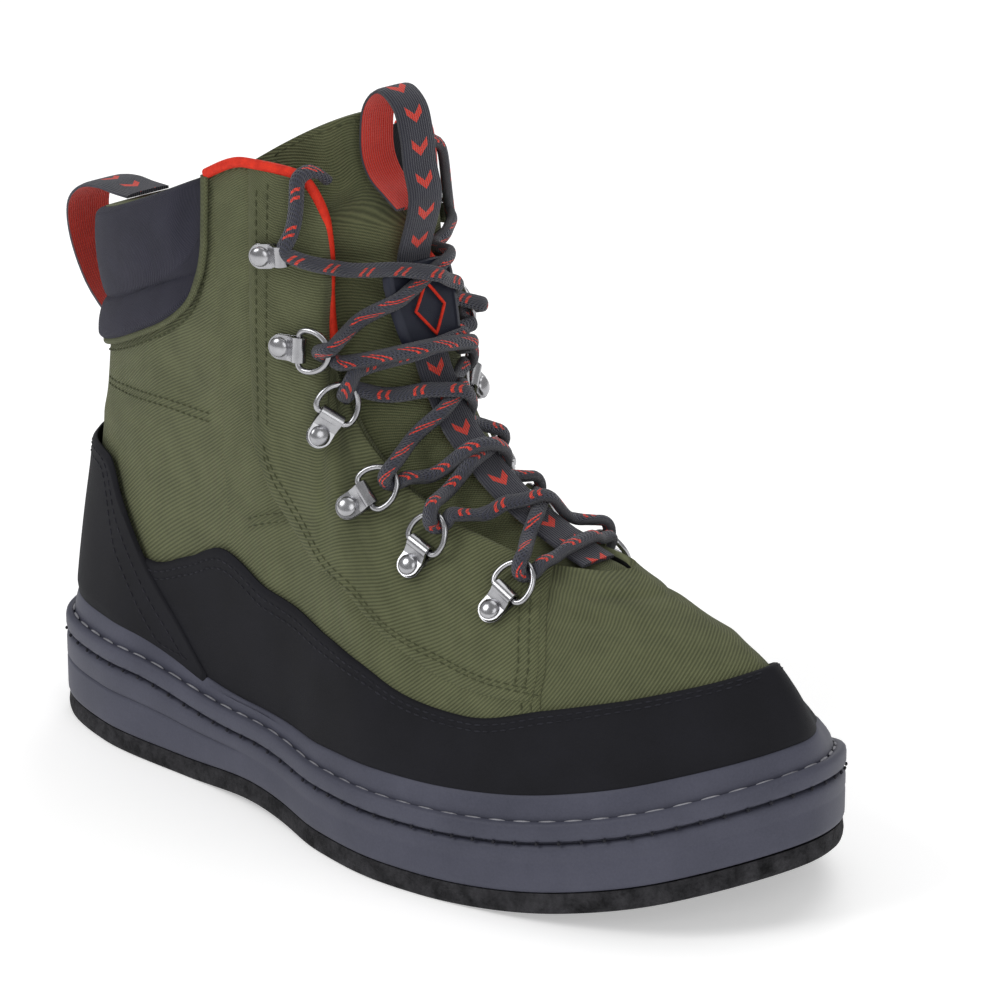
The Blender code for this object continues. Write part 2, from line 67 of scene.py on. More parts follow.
# along, outer half width, inner half width
SOLE_EDGE = [
    (12, 30, 31), (45, 43, 43.5), (100, 43.5, 43.5), (140, 47.5, 48), (165, 53, 55),
    (192, 55, 68.5), (228, 48.5, 75), (262, 37, 71), (290, 18.5, 59)]
TOE_TIP = (310, 22)
# along, top of the midsole above the felt
MIDSOLE = [(0, 23), (60, 23), (120, 15), (170, 15.5), (230, 16.5), (310, 18)]
# u, top line x, half width, height, then how far the side swells low (out, up) and high (out, down)
TOP_LINE = [
    (0.00, 21, 0, 178, -1, 38, -7, 42),
    (0.07, 27, 19, 180, -1, 38, -7, 44),
    (0.15, 45, 31, 186, 0, 40, -5, 46),
    (0.25, 75, 39, 198, 0, 42, -2, 48),
    (0.34, 100, 41, 209, 0, 44, 0, 50),
    (0.40, 119, 37.4, 217, 1, 46, 2, 55),
    (0.45, 134.6, 27.6, 214.3, 2, 46, 3, 60),
    (0.49, 141.1, 22.7, 200.6, 3, 44, 4, 50),
    (0.53, 141.3, 21, 183.2, 3, 42, 5, 42),
    (0.58, 144.7, 22, 160.9, 4, 38, 5, 34),
    (0.64, 155, 21.6, 137.5, 4, 34, 7, 30),
    (0.71, 173, 18.1, 120.5, 4, 32, 8, 22),
    (0.79, 197.3, 14.8, 110.2, 4, 32, 10, 16),
    (0.88, 225.1, 11.8, 103.6, 4, 34, 16, 14),
    (0.95, 240.9, 6.5, 103.5, 4, 38, 26, 12),
    (1.00, 246, 0, 104, 3, 42, 34, 13)]
CENTRE = [(0, 0), (105, 0), (145, -2.5), (185, -3), (215, 2), (246, 8), (310, 16)]
# how much lower, flatter and slimmer the inner side of the instep is
INNER_UP, INNER_OUT, INNER_IN = 0.3, 0.6, 4.0
RAND_TOP = [(0, .27), (.25, .27), (.30, .31), (.35, .35), (.42, .31), (.51, .315),
            (.61, .335), (.71, .335), (.80, .38), (.87, .41), (.94, .417), (1, .417)]
COUNTER_TOP = [(0, .50), (.10, .48), (.165, .46), (.20, .38), (.25, .25), (.29, .17), (.33, .08)]
CUFF_LOW = [(0, .683), (.10, .69), (.25, .725), (.31, .76), (.335, .80), (.348, .86), (.352, 1)]
STAY_LOW = [(.40, .56), (.43, .467), (.51, .417), (.60, .455), (.69, .445), (.75, .415), (.82, .40), (.89, .42)]
CLIPS = [
    (.420, .850, .445, .867), (.440, .717, .490, .760), (.490, .620, .560, .770),
    (.610, .683, .665, .840), (.710, .715, .750, .865), (.795, .670, .835, .810)]
CLIP_WIDTH, CLIP_SHEET, CLIP_BACK = 8.0, 1.0, 11.0
WIRE, RING_DEPTH = 1.0, 11.0
TONGUE_BULGE = [(.47, 14), (.53, 17), (.60, 17), (.70, 15), (.80, 8), (.90, 0), (.97, -4)]
TONGUE_THICK = 5.0
THROAT = [.50, .53, .56, .59, .62, .65, .69, .73, .77, .81, .85, .89, .93, .96]


# ---- shape functions -------------------------------------------------------------------------------

def table(at, rows):
    """Monotone smooth reading of a table, one array per column after the first."""
    rows = np.array(rows, float)
    xs = rows[:, 0]
    at = np.clip(np.asarray(at, float), xs[0], xs[-1])
    h = np.diff(xs)
    i = np.clip(np.searchsorted(xs, at, side="right") - 1, 0, len(h) - 1)
    t = (at - xs[i]) / h[i]
    out = []
    for c in range(1, rows.shape[1]):
        y = rows[:, c]
        d = np.diff(y) / h
        m = np.zeros(len(y))
        m[0], m[-1] = d[0], d[-1]
        for k in range(1, len(y) - 1):
            if d[k - 1] * d[k] > 0:
                a, b = 2 * h[k] + h[k - 1], h[k] + 2 * h[k - 1]
                m[k] = (a + b) / (a / d[k - 1] + b / d[k])
        out.append((2 * t**3 - 3 * t**2 + 1) * y[i] + (t**3 - 2 * t**2 + t) * h[i] * m[i]
                   + (-2 * t**3 + 3 * t**2) * y[i + 1] + (t**3 - t**2) * h[i] * m[i + 1])
    return out


def spline(points, steps, closed=False):
    """Centripetal Catmull-Rom curve through the points."""
    p = np.array(points, float)
    n = len(p)
    out = []
    for i in range(n if closed else n - 1):
        if closed:
            q = [p[i - 1], p[i], p[(i + 1) % n], p[(i + 2) % n]]
        else:
            first = p[i - 1] if i else 2 * p[0] - p[1]
            last = p[i + 2] if i + 2 < n else 2 * p[-1] - p[-2]
            q = [first, p[i], p[i + 1], last]
        t = [0.0]
        for k in range(3):
            t.append(t[-1] + max(np.linalg.norm(q[k + 1] - q[k]), 1e-6) ** 0.5)
        for s in np.linspace(t[1], t[2], steps, endpoint=False):
            a = [(t[k + 1] - s) / (t[k + 1] - t[k]) * q[k] + (s - t[k]) / (t[k + 1] - t[k]) * q[k + 1]
                 for k in range(3)]
            b = [(t[k + 2] - s) / (t[k + 2] - t[k]) * a[k] + (s - t[k]) / (t[k + 2] - t[k]) * a[k + 1]
                 for k in range(2)]
            out.append((t[2] - s) / (t[2] - t[1]) * b[0] + (s - t[1]) / (t[2] - t[1]) * b[1])
    if not closed:
        out.append(p[-1])
    return np.array(out)


def unit(v):
    return v / np.maximum(np.linalg.norm(v, axis=-1, keepdims=True), 1e-9)


def run_lengths(p):
    return np.concatenate([[0], np.cumsum(np.linalg.norm(np.diff(p, axis=0), axis=1))])


LOOP = spline([(0, 0)] + [(a, -o) for a, o, i in SOLE_EDGE] + [TOE_TIP]
              + [(a, i) for a, o, i in SOLE_EDGE[::-1]], 24, closed=True)
HALF = 24 * (len(SOLE_EDGE) + 1)
SIDES = [LOOP[:HALF + 1], np.vstack([LOOP[HALF:], LOOP[:1]])[::-1]]
SHARES = [run_lengths(s) / run_lengths(s)[-1] for s in SIDES]


def fold(w):
    w = np.asarray(w, float) % 2
    return np.minimum(w, 2 - w)


def edge(w):
    w = np.asarray(w, float) % 2
    u = np.minimum(w, 2 - w)
    sides = [np.stack([np.interp(u, SHARES[k], SIDES[k][:, c]) for c in (0, 1)], -1) for k in (0, 1)]
    return np.where((w <= 1)[..., None], sides[0], sides[1])


def edge_normal(w):
    d = edge(np.asarray(w) + .006) - edge(np.asarray(w) - .006)
    return unit(np.stack([d[..., 1], -d[..., 0]], -1))


def ground(x):
    rise = np.maximum(0.0, (x / LENGTH - SPRING_FROM) / (1 - SPRING_FROM))
    arch = np.minimum(abs(x / LENGTH - ARCH_AT) / ARCH_HALF, 1)
    return TOE_SPRING * rise**2 + ARCH_LIFT * np.cos(arch * np.pi / 2) ** 2


def seat(x):
    return ground(x) + FELT + table(x, MIDSOLE)[0]


def sole_point(w, inset, height):
    p = edge(w) - edge_normal(w) * np.asarray(inset)[..., None]
    return np.concatenate([p, np.asarray(height(p[..., 0]))[..., None]], -1)


def shell_curve(w, v):
    w, v = np.broadcast_arrays(np.asarray(w, float) % 2, np.asarray(v, float))
    side = np.where(w <= 1, -1, 1)
    tx, ty, tz, low_out, low_up, high_out, high_down = table(fold(w), TOP_LINE)
    inner = np.where(w > 1, step(fold(w), .48, .64) * (1 - step(fold(w), .93, 1)), 0.0)
    low_out, low_up = low_out - INNER_IN * inner, low_up * (1 - INNER_UP * inner)
    high_out = high_out * (1 - INNER_OUT * inner)
    n = edge_normal(w)
    e = edge(w)
    f = e - n * INSET
    foot = np.stack([f[..., 0], f[..., 1], seat(e[..., 0]) + 0.5], -1)
    top = np.stack([tx, side * ty + table(tx, CENTRE)[0], tz], -1)
    out = np.stack([n[..., 0], n[..., 1], np.zeros_like(tx)], -1)
    up = np.array([0, 0, 1.0])
    b = foot + out * low_out[..., None] + up * low_up[..., None]
    c = top + out * high_out[..., None] - up * high_down[..., None]
    v = v[..., None]
    return (1 - v)**3 * foot + 3 * v * (1 - v)**2 * b + 3 * v * v * (1 - v) * c + v**3 * top


def shell_normal(w, v):
    e = .004
    du = shell_curve(w + e, v) - shell_curve(w - e, v)
    dv = shell_curve(w, np.minimum(1, v + e)) - shell_curve(w, np.maximum(0, v - e))
    return unit(np.cross(du, dv))


# Soft troughs and ridges of the cloth: u, v, reach along, reach up, slant, depth
FOLDS = [
    (.18, .60, .050, .030, .25, -1.3), (.15, .53, .060, .022, -.2, .7), (.30, .62, .045, .045, .3, -.9),
    (.36, .50, .050, .030, .5, .6), (.52, .56, .030, .060, -.4, -.8), (.57, .42, .050, .030, .3, .6),
    (.71, .48, .060, .030, .4, -.7), (.90, .72, .030, .050, 0, -1.0), (.93, .60, .040, .040, .3, .5),
    (.96, .86, .050, .025, 0, -.9), (.47, .66, .020, .080, 0, -.5)]


def folds(w, v):
    u = fold(w)
    other = np.where(np.asarray(w) % 2 > 1, .035, 0.0)
    total = np.zeros(np.broadcast(u, v).shape)
    for fu, fv, du, dv, slant, deep in FOLDS:
        a = (u - fu - other) / du
        b = (v - fv + other * .6 - slant * (u - fu)) / dv
        total = total + deep * np.exp(-a * a - b * b)
    ripple = .18 * np.sin(u * 41 + v * 9 + other * 60) * np.sin(v * 23 + u * 17) * np.clip(v * 3 - .6, 0, 1)
    return total + ripple


def shell(w, v, off=0.0):
    w, v = np.broadcast_arrays(np.asarray(w, float), np.asarray(v, float))
    lift = np.asarray(off) + folds(w, v)
    return shell_curve(w, v) + shell_normal(w, v) * np.asarray(lift)[..., None]


def step(x, a, b):
    t = np.clip((x - a) / (b - a), 0, 1)
    return t * t * (3 - 2 * t)


def wall(w, v):
    return WALL + COLLAR_PAD * step(v, .62, .9) * (1 - step(fold(w), .30, .44))


def height_share(w, height):
    """Share of the side profile at this height over the seat, for each column."""
    w = np.atleast_1d(w)
    grid = np.linspace(0, .5, 61)
    base = seat(edge(w)[:, 0])
    z = shell_curve(w[:, None], grid[None])[..., 2]
    return np.array([np.interp(b + h, row, grid) for b, h, row in zip(base, np.broadcast_to(height, w.shape), z)])


def welt_tall(w):
    return WELT_HEIGHT - 3.0 * np.exp(-((edge(w)[..., 0] - 120) / 40) ** 2)


def metres(p):
    return (np.asarray(p, float) - [HEEL_CENTRE, 0, 0]) / 1000


# ---- materials -------------------------------------------------------------------------------------

def nodes_of(mat):
    mat.use_nodes = True
    return mat.node_tree.nodes, mat.node_tree.links


def group(name, inputs, outputs):
    g = bpy.data.node_groups.new(name, "ShaderNodeTree")
    for n, kind, value in inputs:
        s = g.interface.new_socket(name=n, in_out="INPUT", socket_type=kind)
        if value is not None:
            s.default_value = value
    for n, kind in outputs:
        g.interface.new_socket(name=n, in_out="OUTPUT", socket_type=kind)
    return g, g.nodes.new("NodeGroupInput"), g.nodes.new("NodeGroupOutput")


def wire(tree, a, b):
    tree.links.new(a, b)


def maths(tree, op, a, b=None, c=None, clamp=False):
    n = tree.nodes.new("ShaderNodeMath")
    n.operation, n.use_clamp = op, clamp
    for k, x in enumerate((a, b, c)):
        if x is None:
            continue
        if isinstance(x, (int, float)):
            n.inputs[k].default_value = x
        else:
            tree.links.new(x, n.inputs[k])
    return n.outputs[0]


def cloth_group():
    """Ribbed weave from a UV map in centimetres: height, and a tone that is darker in the weave's grooves (painted
    shade) over slow random variation.
    """
    g, gin, gout = group("woven_ribs", [
        ("Vector", "NodeSocketVector", None), ("Ribs", "NodeSocketFloat", 18.0),
        ("Threads", "NodeSocketFloat", 26.0), ("Turn", "NodeSocketFloat", 0.9), ("Fuzz", "NodeSocketFloat", .25)],
        [("Height", "NodeSocketFloat"), ("Tone", "NodeSocketFloat")])
    turn = g.nodes.new("ShaderNodeVectorRotate")
    turn.rotation_type = "Z_AXIS"
    wire(g, gin.outputs["Vector"], turn.inputs["Vector"])
    wire(g, gin.outputs["Turn"], turn.inputs["Angle"])
    sep = g.nodes.new("ShaderNodeSeparateXYZ")
    wire(g, turn.outputs[0], sep.inputs[0])
    noise = g.nodes.new("ShaderNodeTexNoise")
    noise.inputs["Scale"].default_value = 14.0
    noise.inputs["Detail"].default_value = 3.0
    wire(g, gin.outputs["Vector"], noise.inputs["Vector"])
    wobble = maths(g, "MULTIPLY", noise.outputs[0], 1.6)
    across = maths(g, "ADD", maths(g, "MULTIPLY", maths(g, "MULTIPLY", sep.outputs[0], gin.outputs["Ribs"]),
                                   6.2832), wobble)
    rib = maths(g, "MULTIPLY_ADD", maths(g, "SINE", across), .5, .5)
    along = maths(g, "ADD", maths(g, "MULTIPLY", maths(g, "MULTIPLY", sep.outputs[1], gin.outputs["Threads"]),
                                  6.2832), maths(g, "MULTIPLY", across, .5))
    thread = maths(g, "MULTIPLY_ADD", maths(g, "SINE", along), .5, .5)
    fine = g.nodes.new("ShaderNodeTexNoise")
    fine.inputs["Scale"].default_value = 90.0
    fine.inputs["Detail"].default_value = 2.0
    wire(g, gin.outputs["Vector"], fine.inputs["Vector"])
    body = maths(g, "MULTIPLY_ADD", thread, .3, maths(g, "MULTIPLY", rib, .7))
    high = maths(g, "MULTIPLY_ADD", fine.outputs[0], gin.outputs["Fuzz"], body)
    slow = g.nodes.new("ShaderNodeTexNoise")
    slow.inputs["Scale"].default_value = .9
    slow.inputs["Detail"].default_value = 4.0
    wire(g, gin.outputs["Vector"], slow.inputs["Vector"])
    # Tone is slow random variation plus the weave's height, so the grooves between ribs and threads come out darker:
    # painted shade.
    tone = maths(g, "MULTIPLY_ADD", slow.outputs[0], .35, maths(g, "MULTIPLY", high, .52), clamp=True)
    wire(g, high, gout.inputs["Height"])
    wire(g, tone, gout.inputs["Tone"])
    return g


def grain_group():
    """Fine irregular grain on object coordinates, in metres: height and tone."""
    g, gin, gout = group("fine_grain", [
        ("Vector", "NodeSocketVector", None), ("Scale", "NodeSocketFloat", 900.0),
        ("Blotch", "NodeSocketFloat", 30.0)],
        [("Height", "NodeSocketFloat"), ("Tone", "NodeSocketFloat")])
    a = g.nodes.new("ShaderNodeTexNoise")
    a.inputs["Detail"].default_value = 5.0
    a.inputs["Roughness"].default_value = .65
    wire(g, gin.outputs["Vector"], a.inputs["Vector"])
    wire(g, gin.outputs["Scale"], a.inputs["Scale"])
    b = g.nodes.new("ShaderNodeTexNoise")
    b.inputs["Detail"].default_value = 3.0
    wire(g, gin.outputs["Vector"], b.inputs["Vector"])
    wire(g, gin.outputs["Blotch"], b.inputs["Scale"])
    wire(g, a.outputs[0], gout.inputs["Height"])
    wire(g, maths(g, "MULTIPLY_ADD", b.outputs[0], .6, maths(g, "MULTIPLY", a.outputs[0], .4), clamp=True),
         gout.inputs["Tone"])
    return g


CLOTH, GRAIN = cloth_group(), grain_group()


def base_material(name, rough, metal=0.0, sheen=0.0, coat=0.0):
    m = bpy.data.materials.new(name)
    nodes, links = nodes_of(m)
    b = nodes["Principled BSDF"]
    b.inputs["Roughness"].default_value = rough
    b.inputs["Metallic"].default_value = metal
    b.inputs["Sheen Weight"].default_value = sheen
    b.inputs["Coat Weight"].default_value = coat
    b.inputs["Specular IOR Level"].default_value = .5 if metal else .22
    if sheen:
        b.inputs["Sheen Roughness"].default_value = .6
    return m, m.node_tree, b


def ramp(tree, fac, stops):
    r = tree.nodes.new("ShaderNodeValToRGB")
    r.color_ramp.elements[0].position, r.color_ramp.elements[1].position = stops[0][0], stops[-1][0]
    r.color_ramp.elements[0].color = (*stops[0][1], 1)
    r.color_ramp.elements[1].color = (*stops[-1][1], 1)
    for at, c in stops[1:-1]:
        r.color_ramp.elements.new(at).color = (*c, 1)
    tree.links.new(fac, r.inputs[0])
    return r.outputs[0]


def mixed(tree, fac, a, b):
    n = tree.nodes.new("ShaderNodeMix")
    n.data_type = "RGBA"
    for socket, x in ((n.inputs[0], fac), (n.inputs[6], a), (n.inputs[7], b)):
        if isinstance(x, tuple):
            socket.default_value = (*x, 1)
        else:
            tree.links.new(x, socket)
    return n.outputs[2]


def bump(tree, bsdf, height, distance, strength=1.0):
    n = tree.nodes.new("ShaderNodeBump")
    n.inputs["Distance"].default_value = distance
    n.inputs["Strength"].default_value = strength
    tree.links.new(height, n.inputs["Height"])
    tree.links.new(n.outputs[0], bsdf.inputs["Normal"])


def uv_socket(tree):
    n = tree.nodes.new("ShaderNodeUVMap")
    n.uv_map = "weave"
    return n.outputs[0]


def object_socket(tree):
    return tree.nodes.new("ShaderNodeTexCoord").outputs["Object"]


def cloth(name, dark, light, rough, ribs, threads, turn, fuzz, deep, sheen=.25):
    m, tree, b = base_material(name, rough, sheen=sheen)
    g = tree.nodes.new("ShaderNodeGroup")
    g.node_tree = CLOTH
    tree.links.new(uv_socket(tree), g.inputs["Vector"])
    for key, value in (("Ribs", ribs), ("Threads", threads), ("Turn", turn), ("Fuzz", fuzz)):
        g.inputs[key].default_value = value
    # Base colour from the weave's tone, which carries painted shade in the grooves.
    tree.links.new(ramp(tree, g.outputs["Tone"], [(.22, dark), (.75, light)]), b.inputs["Base Color"])
    bump(tree, b, g.outputs["Height"], deep)
    return m


def grained(name, dark, light, rough, scale, blotch, deep, sheen=0.0, metal=0.0, coat=0.0, vary=0.0):
    m, tree, b = base_material(name, rough, metal, sheen, coat)
    g = tree.nodes.new("ShaderNodeGroup")
    g.node_tree = GRAIN
    tree.links.new(object_socket(tree), g.inputs["Vector"])
    g.inputs["Scale"].default_value = scale
    g.inputs["Blotch"].default_value = blotch
    tree.links.new(ramp(tree, g.outputs["Tone"], [(.32, dark), (.68, light)]), b.inputs["Base Color"])
    if vary:
        tree.links.new(maths(tree, "MULTIPLY_ADD", g.outputs["Tone"], vary, rough - vary / 2),
                       b.inputs["Roughness"])
    bump(tree, b, g.outputs["Height"], deep)
    return m


TWILL = cloth("olive_twill", (.050, .056, .026), (.158, .170, .084), .88, 10.5, 17, .95, .35, .00036, sheen=.06)
TONGUE_TWILL = cloth("tongue_twill", (.046, .052, .024), (.146, .158, .076), .88, 10.5, 17, .55, .35, .00036, sheen=.06)
NAVY = cloth("navy_knit", (.011, .011, .019), (.036, .035, .058), .86, 11, 14, .80, .3, .00032, sheen=.04)
LINING = cloth("black_lining", (.006, .006, .008), (.022, .022, .026), .92, 10, 10, .4, .5, .0002, sheen=.03)
NUBUCK = grained("black_nubuck", (.0042, .0042, .0062), (.0095, .0095, .0135), .78, 2400, 45, .00010, vary=.1)
RUBBER = grained("grey_blue_rubber", (.050, .052, .074), (.078, .080, .110), .55, 1300, 40, .00006, vary=.14)
FELT_CLOTH = grained("charcoal_felt", (.005, .005, .006), (.050, .049, .054), 1.0, 700, 160, .0012)
FOAM = grained("insole_cloth", (.02, .022, .026), (.05, .053, .06), .92, 1500, 60, .0002)
STEEL = grained("polished_steel", (.30, .30, .315), (.46, .46, .475), .24, 500, 120, .00001, metal=1.0, vary=.12)
THREAD_OLIVE = grained("olive_thread", (.040, .045, .022), (.085, .092, .046), .8, 3000, 300, .0001)
THREAD_DARK = grained("black_thread", (.006, .006, .009), (.022, .022, .03), .7, 3000, 300, .0001)
THREAD_PALE = grained("grey_thread", (.16, .16, .18), (.36, .36, .39), .7, 3000, 300, .0001)
RED = grained("red_cord", (.48, .016, .007), (.80, .040, .013), .6, 2500, 400, .00015)


def webbing(name, with_marks, red_face=False):
    """Ribbed tape on its UV map, centimetres along V, with woven red slashes down the middle."""
    m, tree, b = base_material(name, .8, sheen=.2)
    uv = uv_socket(tree)
    g = tree.nodes.new("ShaderNodeGroup")
    g.node_tree = CLOTH
    tree.links.new(uv, g.inputs["Vector"])
    for key, value in (("Ribs", 11), ("Threads", 20), ("Turn", 0.0), ("Fuzz", .3)):
        g.inputs[key].default_value = value
    # Tape colour from the weave's tone, which carries painted shade in the grooves.
    if red_face:
        colour = ramp(tree, g.outputs["Tone"], [(.2, (.38, .012, .006)), (.8, (.72, .040, .016))])
    else:
        colour = ramp(tree, g.outputs["Tone"], [(.2, (.009, .009, .016)), (.8, (.034, .035, .054))])
    if with_marks:
        sep = tree.nodes.new("ShaderNodeSeparateXYZ")
        tree.links.new(uv, sep.inputs[0])
        centre = maths(tree, "ABSOLUTE", sep.outputs[0])
        inside = maths(tree, "LESS_THAN", centre, .33)
        slant = maths(tree, "ADD", sep.outputs[1], maths(tree, "MULTIPLY", centre, .9))
        beat = maths(tree, "LESS_THAN", maths(tree, "FRACT", maths(tree, "MULTIPLY", slant, .95)), .26)
        weave = maths(tree, "GREATER_THAN", g.outputs["Height"], .28)
        mask = maths(tree, "MULTIPLY", maths(tree, "MULTIPLY", inside, beat), weave)
        colour = mixed(tree, mask, colour, (.70, .035, .014))
    tree.links.new(colour, b.inputs["Base Color"])
    bump(tree, b, g.outputs["Height"], .0003)
    return m


WEBBING = webbing("marked_webbing", True)
WEBBING_PLAIN = webbing("plain_webbing", False)
WEBBING_RED = webbing("red_webbing_face", False, True)


def lace_material():
    """Braided sheath: navy with pairs of slanted red flecks along the cord."""
    m, tree, b = base_material("flecked_lace", .72, sheen=.25)
    uv = uv_socket(tree)
    sep = tree.nodes.new("ShaderNodeSeparateXYZ")
    tree.links.new(uv, sep.inputs[0])
    left = maths(tree, "SINE", maths(tree, "MULTIPLY", maths(tree, "ADD", sep.outputs[1], sep.outputs[0]), 42.0))
    right = maths(tree, "SINE", maths(tree, "MULTIPLY", maths(tree, "SUBTRACT", sep.outputs[1], sep.outputs[0]),
                                      42.0))
    braid = maths(tree, "MAXIMUM", left, right)
    height = maths(tree, "MULTIPLY_ADD", braid, .5, .5)
    face = maths(tree, "ABSOLUTE", maths(tree, "SUBTRACT", maths(tree, "ABSOLUTE", sep.outputs[0]), .34))
    face = maths(tree, "LESS_THAN", face, .15)
    turns = maths(tree, "FRACT", maths(tree, "MULTIPLY", maths(tree, "MULTIPLY_ADD", sep.outputs[0], 1.9,
                                                               sep.outputs[1]), .82))
    one = maths(tree, "LESS_THAN", turns, .09)
    two = maths(tree, "LESS_THAN", maths(tree, "ABSOLUTE", maths(tree, "SUBTRACT", turns, .26)), .045)
    mask = maths(tree, "MULTIPLY", face, maths(tree, "MAXIMUM", one, two))
    # Both colours follow the braid's height and are darker in its hollows: painted shade.
    navy = ramp(tree, height, [(.2, (.007, .008, .015)), (.95, (.034, .036, .056))])
    red = ramp(tree, height, [(.2, (.34, .010, .005)), (.95, (.80, .040, .014))])
    tree.links.new(mixed(tree, mask, navy, red), b.inputs["Base Color"])
    bump(tree, b, height, .0004)
    return m


LACE_CLOTH = lace_material()
BADGE_RUBBER = grained("navy_rubber", (.014, .016, .027), (.024, .027, .042), .42, 1500, 60, .00004)


# ---- piece builders --------------------------------------------------------------------------------

def lay_grid(bm, points, slot=0, uv_from=None):
    """A grid of faces on points[i][j], with a UV map in centimetres of real length."""
    nu, nv = points.shape[:2]
    made = bmesh.ops.create_grid(bm, x_segments=nu - 1, y_segments=nv - 1, size=.5)["verts"]
    world = metres(points)
    along_u = np.concatenate([np.zeros((1, nv)), np.cumsum(np.linalg.norm(np.diff(points, axis=0), axis=2), 0)]) / 10
    along_v = np.concatenate([np.zeros((nu, 1)), np.cumsum(np.linalg.norm(np.diff(points, axis=1), axis=2), 1)],
                             1) / 10
    along_u = along_u - along_u[nu // 2][None]
    if uv_from is not None:
        along_u, along_v = uv_from
    layer = bm.loops.layers.uv.get("weave") or bm.loops.layers.uv.new("weave")
    spot = {}
    for vert in made:
        i, j = round((vert.co.x + .5) * (nu - 1)), round((vert.co.y + .5) * (nv - 1))
        spot[vert] = (i, j)
        vert.co = Vector(world[i, j])
    for f in {f for v in made for f in v.link_faces}:
        f.material_index = slot
        for loop in f.loops:
            i, j = spot[loop.vert]
            loop[layer].uv = (along_u[i, j], along_v[i, j])
    return spot


def finish_mesh(name, bm, materials, merge=1e-6, sharp=48, recalc=True):
    bmesh.ops.remove_doubles(bm, verts=bm.verts, dist=merge)
    if recalc:
        bmesh.ops.recalc_face_normals(bm, faces=bm.faces)
    for f in bm.faces:
        f.smooth = True
    for e in bm.edges:
        if len(e.link_faces) == 2 and e.calc_face_angle(0) > math.radians(sharp):
            e.smooth = False
    mesh = bpy.data.meshes.new(name)
    bm.to_mesh(mesh)
    bm.free()
    obj = bpy.data.objects.new(name, mesh)
    for m in materials:
        mesh.materials.append(m)
    bpy.context.scene.collection.objects.link(obj)
    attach(obj, "root")
    return obj


def two_skins(name, outer, inner, materials, wrap=False, replaces=()):
    """Closed piece between two equal grids; wrap joins its first and last columns."""
    bm = bmesh.new()
    a = lay_grid(bm, outer, 0)
    b = lay_grid(bm, inner, len(materials) - 1)
    if wrap:
        rims = [0, outer.shape[1] - 1]
        for j in rims:
            edges = [e for e in bm.edges if all(a.get(v, b.get(v, (0, -9)))[1] == j for v in e.verts)
                     and len(e.link_faces) == 1]
            for grid in (a, b):
                ends = [v for v, (i, k) in grid.items() if k == j and i in (0, outer.shape[0] - 1)]
                bmesh.ops.pointmerge(bm, verts=ends, merge_co=ends[0].co)
                for v in ends[1:]:
                    grid.pop(v, None)
            edges = [e for e in bm.edges if e.is_valid and len(e.link_faces) == 1
                     and all(a.get(v, b.get(v, (0, -9)))[1] == j for v in e.verts)]
            bmesh.ops.bridge_loops(bm, edges=edges)
    else:
        edges = [e for e in bm.edges if len(e.link_faces) == 1]
        bmesh.ops.bridge_loops(bm, edges=edges)
    obj = finish_mesh(name, bm, materials)
    if replaces:
        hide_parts(*replaces)
    return obj


def panel(name, wv, nu, nv, gap, thick, material, edge_soft=1.2, lift=None, replaces=(), wrap=False,
          fade=None):
    """Sewn panel on the upper: wv(s, t) gives its place, its borders roll down to the cloth below."""
    s, t = np.meshgrid(np.linspace(0, 1, nu), np.linspace(0, 1, nv), indexing="ij")
    w, v = wv(s, t)
    flat = shell_curve(w, v)
    rows = np.concatenate([np.zeros((nu, 1)), np.cumsum(np.linalg.norm(np.diff(flat, axis=1), axis=2), 1)], 1)
    from_rim = np.minimum(rows, rows[:, -1:] - rows)
    if not wrap:
        cols = np.concatenate([np.zeros((1, nv)), np.cumsum(np.linalg.norm(np.diff(flat, axis=0), axis=2), 0)])
        from_rim = np.minimum(from_rim, np.minimum(cols, cols[-1:] - cols))
    roll = np.sqrt(np.clip(1 - (1 - np.clip(from_rim / edge_soft, 0, 1)) ** 2, 0, 1))
    extra = lift(s, t, w, v) if lift else 0
    thick = thick * (.04 + .96 * fade(s)) if fade else thick
    top = gap + thick * (.35 + .65 * roll) + extra * roll
    return two_skins(name, shell(w, v, top), shell(w, v, np.full_like(v, gap)), [material], wrap,
                     replaces)


def tube(name, path, ra, rb, material, normal=None, around=12, closed=False, replaces=(),
         normals=None):
    """Cord or wire along a path; ra across, rb off the surface."""
    path = np.asarray(path, float)
    ahead = np.roll(path, -1, 0) - np.roll(path, 1, 0) if closed else np.gradient(path, axis=0)
    ahead = unit(ahead)
    n = len(path)
    if normals is None:
        normals = np.broadcast_to(normal if normal is not None else (0, 0, 1.0), (n, 3))
    ups = unit(normals - ahead * np.sum(normals * ahead, 1, keepdims=True))
    sides = np.cross(ahead, ups)
    angles = np.linspace(0, 2 * np.pi, around + 1)
    grid = np.stack([path + sides * ra * np.cos(a) + ups * rb * np.sin(a) for a in angles])
    bm = bmesh.new()
    if closed:
        grid = np.concatenate([grid, grid[:, :1]], 1)
        lay_grid(bm, grid)
    else:
        lay_grid(bm, grid)
    bmesh.ops.remove_doubles(bm, verts=bm.verts, dist=1e-6)
    if not closed:
        bmesh.ops.holes_fill(bm, edges=[e for e in bm.edges if len(e.link_faces) == 1], sides=0)
    obj = finish_mesh(name, bm, [material], sharp=60)
    if replaces:
        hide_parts(*replaces)
    return obj


